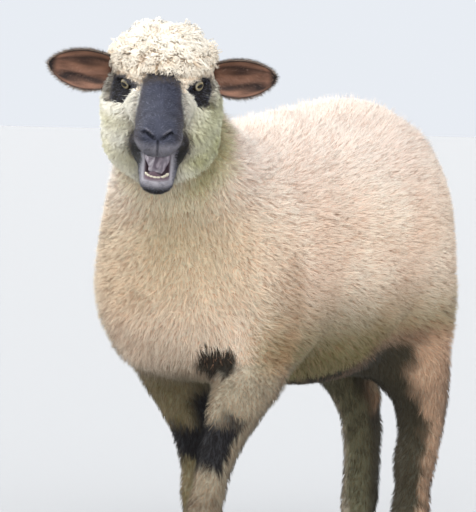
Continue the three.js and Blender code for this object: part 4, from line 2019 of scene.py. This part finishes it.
@dataclass(frozen=True)
class EarForm:
    """The leaf of one ear in the head's own millimetres, its colours and its hair."""

    side: Side
    root: Triple = (60.0, 40.0, 2.5)
    tip: Triple = (161.0, 22.0, 19.0)
    droops: Pair = (8.0, 5.0)
    width: float = 62.0
    thick: float = 3.0
    cup: float = 13.0
    grid: tuple[int, int] = (64, 36)
    front: Triple = (0, -1, -0.12)
    inside: str = "5f4234"
    inside_pale: str = "a87a62"
    streak: str = "231714"
    border: str = "191210"
    back_skin: str = "2e2623"
    back_hair: str = "3a302b"
    rim_hair: str = "9d9487"
    rim: TuftShape = TuftShape(
        0.0045, 0.0009, 0.0006, 0.0010, rings=1, clump=0.2, clump_spacing=0.003, stray=0.3, mottle=0.2
    )
    back: TuftShape = TuftShape(
        0.006, 0.0012, 0.0007, 0.0017, rings=1, clump=0.2, clump_spacing=0.003, stray=0.3, mottle=0.25
    )
    inner: TuftShape = TuftShape(
        0.008, 0.0009, 0.0005, 0.0018, rings=1, clump=0.2, clump_spacing=0.004, stray=0.2, mottle=0.3,
        root_shade=0.7, rose=0.0, flecks=0.2, fleck="a98a7a",
    )
    heights: Triple = (0.0010, 0.0012, 0.0008)

    def surface(self, t: Array, u: Array) -> Array:
        """Places on the middle of the leaf.

        Args:
            t: The share of the way from the root to the tip.
            u: The place across, from -1 to 1.

        Returns:
            The places.
        """
        droop = self.droops[0] if self.side is Side.LEFT else self.droops[1]
        flip = np.array([self.side.value, 1, 1])
        root = np.array(self.root) * flip
        out = np.array(self.tip) * flip - np.array([0, 0, droop]) - root
        forward = np.array(self.front)
        forward = forward - out * (forward @ out) / (out @ out)
        forward /= np.linalg.norm(forward)
        across = np.cross(out, forward) * self.side.value
        across /= np.linalg.norm(across)
        near = 1 - 0.5 * np.clip((0.5 - t) / 0.5, 0, 1) ** 2
        leaf = near * np.maximum(1 - np.clip((t - 0.42) / 0.58, 0, 1) ** 2.2, 0.002) ** 0.64
        cup = self.cup * (1.25 - 0.9 * t) * leaf
        ridge = 1.1 * peak(u - 0.30, 0.10) + 1.1 * peak(u + 0.28, 0.10)
        ridge = ridge * ramp(t, 0.95, 0.6) * ramp(t, 0, 0.2)
        lift = cup * u * u + ridge
        beside = across * (u * leaf * self.width / 2)[:, None]
        return root + t[:, None] * out + beside + forward * lift[:, None]

    def build(self, finish: Material) -> Piece:
        """Makes the ear.

        Args:
            finish: Its material.

        Returns:
            The ear's piece.
        """
        bm = bmesh.new()
        bmesh.ops.create_grid(bm, x_segments=self.grid[0], y_segments=self.grid[1], size=1)
        t = 1 - (1 - np.array([(v.co.x + 1) / 2 for v in bm.verts])) ** 1.6
        u = np.array([v.co.y for v in bm.verts])
        for vert, place in zip(bm.verts, HEAD.world(self.surface(t, np.sin(u * math.pi / 2)))):
            vert.co = place
        bm.normal_update()
        bmesh.ops.solidify(bm, geom=bm.faces[:], thickness=self.thick * MM)
        self.put_in_order(bm)
        ear = piece_of(f"ear_{self.side.word}_leaf", bm, finish)
        count = len(ear.data.vertices)
        self.colour(ear.data, np.tile(t, 2)[:count], np.tile(u, 2)[:count])
        self.darken_back(ear.data)
        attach(ear, "root")
        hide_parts(f"ear_{self.side.word}")
        unwrapped(ear, "ear_unwrap")
        return ear

    @staticmethod
    def put_in_order(bm: bmesh.types.BMesh) -> None:
        """Sorts the leaf's faces by their corners, so that its hair is rooted the same way in each run.

        Args:
            bm: The leaf.
        """
        bm.verts.index_update()
        corners = {face: [v.index for v in face.verts] for face in bm.faces}
        bm.faces.sort(key=lambda face: min(corners[face]) * len(bm.verts) + max(corners[face]))

    def darken_back(self, mesh: Mesh) -> None:
        """Paints the leaf's back: of its two faces, the one that lies behind the other.

        Args:
            mesh: The ear's mesh.
        """
        y = HEAD.local(places_of(mesh))[:, 1]
        halves = (slice(None, len(y) // 2), slice(len(y) // 2, None))
        behind = halves[int(y[halves[1]].mean() > y[halves[0]].mean())]
        colours = mesh.color_attributes["tint"].data
        for row in range(len(y))[behind]:
            colours[row].color = (*tone(self.back_skin), 1)

    def furry(self, ear: Piece, finish: Material) -> None:
        """Grows the pale hairs of the rim, the short dark hair of the back and the fine hair inside.

        Args:
            ear: The ear's piece.
            finish: The hair's material.
        """
        coat = Coat(Ground.of(ear, "ear_unwrap"))
        flip = np.array([self.side.value, 1, 1])
        tip, root = (HEAD.world(np.array(end) * flip) for end in (self.tip, self.root))
        axis = unit((tip - root)[None])[0]
        front = HEAD.axes @ np.array(self.front)
        tree = KDTree(len(ear.data.vertices))
        for vert in ear.data.vertices:
            tree.insert(vert.co, vert.index)
        tree.balance()
        painted = np.array([mark.color[:3] for mark in ear.data.color_attributes["tint"].data])

        def lie(places: Array, normals: Array) -> Array:
            """The way that the hair lies at any of the leaf's normals: outward and to the tip.

            Args:
                places: Where.
                normals: The skin's normals there, which make no difference.

            Returns:
                Directions of length 1.
            """
            way = places - root
            outward = unit(way - np.outer(np.minimum(way @ axis, 0.062), axis))
            return unit(outward + axis * 0.9 - front * 0.1)

        def leaf_colour(places: Array) -> Array:
            """The colour of the leaf under each hair inside it."""
            return painted[[tree.find(place)[1] for place in places]]

        kinds = (
            (self.rim, f"ear_rim_{self.side.word}", lambda p: self.edge_share(HEAD.local(p)),
             lambda out: out > -np.inf, lambda p: plain(self.rim_hair, len(p))),
            (self.back, f"ear_back_{self.side.word}", lambda p: np.ones(len(p)),
             lambda out: out < -0.3, lambda p: plain(self.back_hair, len(p))),
            (self.inner, f"ear_inner_{self.side.word}", lambda p: np.ones(len(p)),
             lambda out: out > 0.3, leaf_colour),
        )
        for seed, ((shape, name, wanted, faces, tint), height) in enumerate(zip(kinds, self.heights), 91):
            roots = coat.ground.scatter(shape.spacing, wanted, seed)
            roots = roots.where(faces(roots.normals @ front))
            coat.grow(name, Slot.EAR, shape, roots, lie, np.full(len(roots), height), finish, tint)

    def edge_share(self, local: Array) -> Array:
        """How much a place is on the leaf's rim.

        Args:
            local: Places on the head.

        Returns:
            A share from 0 to 1.
        """
        along = np.linspace(0.12, 1, 60)
        rim = np.concatenate([self.surface(along, np.full(len(along), end)) for end in (-1.0, 1.0)])
        gap = np.min(size_of(local[:, None, :] - rim[None]), axis=1)
        return ramp(gap, 3.2, 2.2)

    def colour(self, mesh: Mesh, t: Array, u: Array) -> None:
        """Paints the inside red brown with dark streaks and a dark border.

        Args:
            mesh: The ear's mesh.
            t: The share of the way from the root to the tip, for each vertex.
            u: Its place across, from -1 to 1.
        """
        bent = u + 0.12 * swell(np.stack([t, u, 0 * u], -1), 0.7, 83)
        folds = np.maximum(bump(bent, 0.40, 0.20), 0.8 * bump(bent, -0.28, 0.24))
        streak = folds * ramp(t, 0.1, 0.3) * ramp(t, 0.98, 0.8)
        edge = np.maximum(ramp(np.abs(u), 0.70, 0.92), ramp(t, 0.86, 0.97))
        lines = 0.5 + 0.5 * swell(np.stack([t * 3, bent * 16, 0 * u], -1), 2.6, 81)
        patchy = 0.5 + 0.5 * swell(np.stack([t * 3, u * 2, 0 * u], -1), 1.1, 82)
        tint = layered(
            plain(self.inside, len(t)),
            (self.inside_pale, np.clip(lines * 0.5 + patchy * 0.35, 0, 1)),
            (self.streak, np.clip(streak * 0.85 + 0.3 * lines, 0, 1)),
            (self.border, np.maximum(edge, ramp(t, 0.22, 0.05))),
        )
        paint(mesh, tint)


@dataclass(frozen=True)
class EyeFinish:
    """The wet finish of an eye: an amber iris and a level bar of a pupil."""

    rough: float = 0.08
    specular: float = 0.1
    coat: float = 0.4
    coat_rough: float = 0.03
    iris: tuple[tuple[float, str], ...] = (
        (0.0, "4a3f2a"),
        (0.30, "786b4e"),
        (0.46, "a59b80"),
        (0.53, "6a604c"),
        (0.59, "15110f"),
        (0.75, "221a17"),
    )
    pupil: tuple[tuple[float, str], ...] = ((0.0, "ffffff"), (0.90, "ffffff"), (1.0, "000000"))
    pupil_scale: Pair = (2.6, 5.2)
    pupil_colour: Colour = (0.002, 0.002, 0.003, 1)
    fibre_scale: float = 9.0
    fibres: float = 0.08

    def material(self) -> Material:
        """Builds the material.

        Returns:
            The material.
        """
        sockets = {"Roughness": self.rough, "Coat Weight": self.coat, "Coat Roughness": self.coat_rough}
        graph = Graph("eye_wet", {**sockets, "Specular IOR Level": self.specular})
        look = graph.add("Attribute", attribute_name="look").outputs["Vector"]
        parts = graph.given("SeparateXYZ", {"Vector": look}).outputs

        def arithmetic(kind: str, a: Value, b: Value) -> bpy.types.NodeSocket:
            """The outcome of one sum of two sockets or numbers."""
            return graph.given("Math", {0: a, 1: b}, operation=kind).outputs["Value"]

        def ring(x_scale: float, y_scale: float) -> bpy.types.NodeSocket:
            """The distance from the pupil's middle with each axis scaled.

            Args:
                x_scale: The scale along the opening.
                y_scale: The scale up.

            Returns:
                The socket that gives it.
            """
            x = arithmetic("MULTIPLY", parts["X"], x_scale)
            y = arithmetic("MULTIPLY", parts["Y"], y_scale)
            squares = arithmetic("MULTIPLY", x, x), arithmetic("MULTIPLY", y, y)
            return arithmetic("SQRT", arithmetic("ADD", *squares), 0)

        fibres = graph.given("TexNoise", {"Scale": self.fibre_scale, "Vector": look}).outputs["Fac"]
        spread = arithmetic("ADD", ring(1, 1), arithmetic("MULTIPLY", fibres, self.fibres))
        iris = graph.given("ValToRGB", {"Fac": spread})
        fill_ramp(iris.color_ramp, self.iris)
        pupil = graph.given("ValToRGB", {"Fac": ring(*self.pupil_scale)})
        fill_ramp(pupil.color_ramp, self.pupil)
        mix = graph.add("Mix", data_type="RGBA")
        colours = {"A": iris.outputs["Color"], "B": self.pupil_colour}
        graph.fill(mix, {"Factor": pupil.outputs["Color"], **colours})
        graph.fill(graph.shader, {"Base Color": mix.outputs["Result"]})
        return graph.made


@dataclass(frozen=True)
class Eyeball:
    """One eyeball, with a clear bulge over the iris."""

    side: Side
    grid: tuple[int, int] = (64, 48)
    bulge: float = 0.045
    bulge_reach: Pair = (0.78, 0.98)

    def build(self, finish: Material) -> Piece:
        """Makes the eyeball.

        Args:
            finish: Its material.

        Returns:
            The eyeball's piece.
        """
        bm = bmesh.new()
        bmesh.ops.create_uvsphere(bm, u_segments=self.grid[0], v_segments=self.grid[1], radius=1.0)
        axes, centre = EYE_AXES.of(self.side), EYE_AXES.centre(self.side)
        look = np.array([v.co for v in bm.verts])
        bulge = 1 + self.bulge * ramp(look[:, 2], *self.bulge_reach)
        co = (look * (HEAD.eye_radius * bulge)[:, None]) @ axes.T + centre
        for vert, place in zip(bm.verts, HEAD.world(co)):
            vert.co = place
        if np.linalg.det(axes) < 0:
            bmesh.ops.reverse_faces(bm, faces=bm.faces[:])
        eye = piece_of(f"eyeball_{self.side.word}", bm, finish)
        held = eye.data.attributes.new("look", "FLOAT_VECTOR", "POINT")
        held.data.foreach_set("vector", look.astype(np.float32).ravel())
        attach(eye, "root")
        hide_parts(f"eye_{self.side.word}")
        return eye


def fill_ramp(held: bpy.types.ColorRamp, stops: tuple) -> None:
    """Sets the stops of a colour ramp.

    Args:
        held: The ramp.
        stops: Places from 0 to 1 with colours in hex.
    """
    while len(held.elements) < len(stops):
        held.elements.new(1.0)
    for element, (place, code) in zip(held.elements, stops):
        element.position = place
        element.color = (*tone(code), 1)


@dataclass(frozen=True)
class Incisors:
    """The row of front teeth in the lower jaw, in the head's own millimetres."""

    count: int = 8
    size: Triple = (3.4, 2.0, 7.0)
    arch: Pair = (14.5, 20.0)
    middle: Triple = (0.0, -104.0, -107.0)
    spread: float = 1.05
    lean: float = 28.0
    square: float = 0.6
    taper: float = 0.72
    shorter: float = 0.22
    upturn: float = 4.5
    enamel: str = "bdb5a1"

    def squared(self, value: float) -> float:
        """A place on a round tooth moved out to that of a squarer one."""
        return math.copysign(abs(value) ** self.square, value)

    def build(self, finish: Material) -> Piece:
        """Makes the teeth.

        Args:
            finish: Their material.

        Returns:
            The teeth's piece.
        """
        bm = bmesh.new()
        for number in range(self.count):
            a = ((2 * (number + 0.5)) / self.count - 1) * self.spread
            x = self.middle[0] + math.sin(a) / math.sin(self.spread) * self.arch[0]
            y = self.middle[1] + (1 - math.cos(a)) * self.arch[1]
            z = self.middle[2] + self.upturn * (a / self.spread) ** 2
            turn = Matrix.Rotation(a, 3, "Z") @ Matrix.Rotation(math.radians(self.lean), 3, "X")
            shorter = 1 - self.shorter * abs(a)
            crown = bmesh.ops.create_uvsphere(bm, u_segments=20, v_segments=14, radius=1.0)["verts"]
            for vert in crown:
                shape = Vector((self.squared(vert.co.x), vert.co.y, self.squared(vert.co.z)))
                taper = self.taper + (1 - self.taper) * (shape.z + 1) / 2
                wide, thick, high = self.size
                local = turn @ Vector((shape.x * wide * taper, shape.y * thick, shape.z * high * shorter))
                vert.co = HEAD.world(np.array([x + local.x, y + local.y, z + local.z]))
        teeth = piece_of("incisors", bm, finish)
        paint(teeth.data, plain(self.enamel, len(teeth.data.vertices)))
        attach(teeth, "root")
        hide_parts("lower_jaw")
        return teeth


@dataclass(frozen=True)
class Tongue:
    """The tongue, made from its node, smoothed and grooved."""

    swelling: float = 0.0003
    voxel: float = 0.0014
    rounds: int = 25
    groove: Pair = (1.6, 2.2)
    groove_heights: Pair = (-104, -92)
    flesh: str = "6c626b"
    flesh_pale: str = "91868e"

    def build(self, finish: Material) -> Piece:
        """Makes the tongue.

        Args:
            finish: Its material.

        Returns:
            The tongue's piece.
        """
        tongue = merged_copy("tongue_wet", ("tongue",), self.swelling)
        remeshed(tongue, self.voxel)
        mesh = tongue.data
        local = HEAD.local(evened(edges_of(mesh), places_of(mesh), self.rounds))
        deep, wide = self.groove
        local[:, 2] -= deep * peak(local[:, 0], wide) * ramp(local[:, 2], *self.groove_heights)
        put_places(mesh, HEAD.world(local))
        patches = np.clip(swell(local, 9, 61), 0, 1)
        paint(mesh, layered(plain(self.flesh, len(local)), (self.flesh_pale, patches)))
        smoothed(mesh, finish)
        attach(tongue, "root")
        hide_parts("tongue")
        return tongue


@dataclass(frozen=True)
class Hooves:
    """The eight claws, made from their nodes, with rounded edges and growth rings. Sizes are in metres."""

    voxel: float = 0.0016
    rounds: int = 6
    sole: float = 0.001
    ring_spacing: float = 0.0021
    inset: float = 0.0004
    ring_depth: float = 0.00025
    coronet: Pair = (0.022, 0.03)
    horn: str = "3d342b"
    horn_pale: str = "6b5c48"
    horn_dark: str = "2a221c"

    def build(self, finish: Material) -> None:
        """Makes the claws.

        Args:
            finish: Their material.
        """
        for node in sorted(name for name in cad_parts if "hoof" in name):
            claw = merged_copy(node + "_horn", (node,), 0.0)
            remeshed(claw, self.voxel)
            mesh = claw.data
            places = places_of(mesh)
            low = places[:, 2].min()
            smooth = evened(edges_of(mesh), places, self.rounds)
            smooth[:, 2] = np.where(places[:, 2] < low + self.sole, low, np.maximum(smooth[:, 2], low))
            put_places(mesh, smooth)
            rings = np.sin(smooth[:, 2] / self.ring_spacing + 0.8 * swell(smooth, 0.03, 71))
            inward = normals_of(mesh) * (np.abs(normals_of(mesh)[:, 2:]) < 0.7)
            put_places(mesh, smooth - inward * (self.inset + self.ring_depth * rings)[:, None])
            tint = layered(
                plain(self.horn, len(smooth)),
                (self.horn_pale, ramp(rings, -0.2, 1) * 0.6),
                (self.horn_dark, ramp(smooth[:, 2], *self.coronet)),
            )
            paint(mesh, tint)
            smoothed(mesh, finish)
            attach(claw, "root")
            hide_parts(node)


@dataclass(frozen=True)
class Lamp:
    """A wide lamp far away."""

    name: str
    power: float
    angle: float
    place: Triple

    def build(self) -> None:
        """Makes the lamp."""
        data = bpy.data.lights.new(self.name, "SUN")
        data.energy = self.power
        data.angle = math.radians(self.angle)
        light = bpy.data.objects.new(self.name, data)
        light.rotation_euler = (-Vector(self.place)).to_track_quat("-Z", "Y").to_euler()
        bpy.context.scene.collection.objects.link(light)


@dataclass(frozen=True)
class Studio:
    """The floor, the lights and the camera."""

    azimuth: float = 31.0
    elevation: float = 4.0
    distance: float = 6.5
    lens: float = 301.64
    sensor: float = 36.0
    target: Triple = (-0.0708, 0.0513, 0.4755)
    floor_size: float = 14.0
    floor_colour: Colour = (0.335, 0.337, 0.34, 1)
    floor_rough: float = 0.9
    sky_colour: Colour = (0.90, 0.94, 1.0, 1)
    sky_strength: float = 0.90
    lamps: tuple[Lamp, ...] = (
        Lamp("key", 0.4, 50, (-0.7, 0.9, 4.5)),
        Lamp("right", 3.15, 70, (3.0, -3.0, 1.9)),
        Lamp("left", 3.1, 60, (-4.0, -1.9, 2.0)),
        Lamp("back", 2.7, 70, (-2.2, 4.5, 1.9)),
    )

    def build(self) -> None:
        """Makes the floor, the lights and the camera."""
        self.floor()
        self.lights()
        self.camera()

    def floor(self) -> None:
        """Makes a wide pale floor."""
        bm = bmesh.new()
        bmesh.ops.create_grid(bm, x_segments=1, y_segments=1, size=self.floor_size)
        mesh = bpy.data.meshes.new("floor")
        bm.to_mesh(mesh)
        bm.free()
        floor = linked("floor", mesh)
        pale = bpy.data.materials.new("pale_floor")
        pale.use_nodes = True
        shader = pale.node_tree.nodes["Principled BSDF"]
        shader.inputs["Base Color"].default_value = self.floor_colour
        shader.inputs["Roughness"].default_value = self.floor_rough
        mesh.materials.append(pale)

    def lights(self) -> None:
        """Makes a soft sky, a weak lamp from above and strong wide ones from both sides and the back."""
        sky = bpy.data.worlds.new("sky")
        bpy.context.scene.world = sky
        sky.use_nodes = True
        air = sky.node_tree.nodes["Background"]
        air.inputs["Color"].default_value = self.sky_colour
        air.inputs["Strength"].default_value = self.sky_strength
        for lamp in self.lamps:
            lamp.build()

    def camera(self) -> None:
        """Makes the camera, a little over the middle of the animal's height."""
        turn, lift = math.radians(self.azimuth), math.radians(self.elevation)
        back = Vector((math.sin(turn) * math.cos(lift), -math.cos(turn) * math.cos(lift), math.sin(lift)))
        data = bpy.data.cameras.new("camera")
        data.lens = self.lens
        data.sensor_width = self.sensor
        camera = bpy.data.objects.new("camera", data)
        camera.location = Vector(self.target) + back * self.distance
        camera.rotation_euler = (-back).to_track_quat("-Z", "Y").to_euler()
        bpy.context.scene.collection.objects.link(camera)
        bpy.context.scene.camera = camera
        bpy.context.scene.view_settings.view_transform = "Standard"


def main() -> None:
    """Builds the sheep, its coat, the floor, the lights and the camera."""
    logging.basicConfig(level=logging.INFO, format="%(message)s")
    skin = Skin()
    piece = skin.build()
    paint(piece.data, MARKINGS.tint(places_of(piece.data)))
    bare = Finish("skin", rough=0.65, grain=0.2, bump=0.4, specular=0.2).material()
    piece.data.materials.append(bare)
    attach(piece, "root")
    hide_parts(*FLESH_NODES)
    log.info("skin: %d faces", len(piece.data.polygons))
    coat = Coat(Ground.of(piece, skin.map_name))
    wool = Finish("wool", rough=0.95, sheen=0.05, grain=0.12, specular=0.1).material()
    hair = Finish("face_hair", rough=0.55, grain=0.2, specular=0.3).material()
    Fleece(coat, wool, hair).build()
    ear_skin = Finish("ear_skin", rough=0.6, grain=0.25, bump=0.3).material()
    wet = Finish("wet_skin", rough=0.25, grain=0.2, bump=0.5, bump_scale=900, specular=0.6).material()
    enamel = Finish("enamel", rough=0.2, grain=0.15, grain_scale=200, specular=0.6).material()
    horn = Finish("horn", rough=0.55, grain=0.25, bump=0.15).material()
    eye_wet = EyeFinish().material()
    for side in Side:
        form = EarForm(side)
        form.furry(form.build(ear_skin), hair)
        Eyeball(side).build(eye_wet)
    Incisors().build(enamel)
    Tongue().build(wet)
    Hooves().build(horn)
    log.info("coat: %d triangles", coat.triangles)
    Studio().build()


if __name__ == "__main__":
    main()
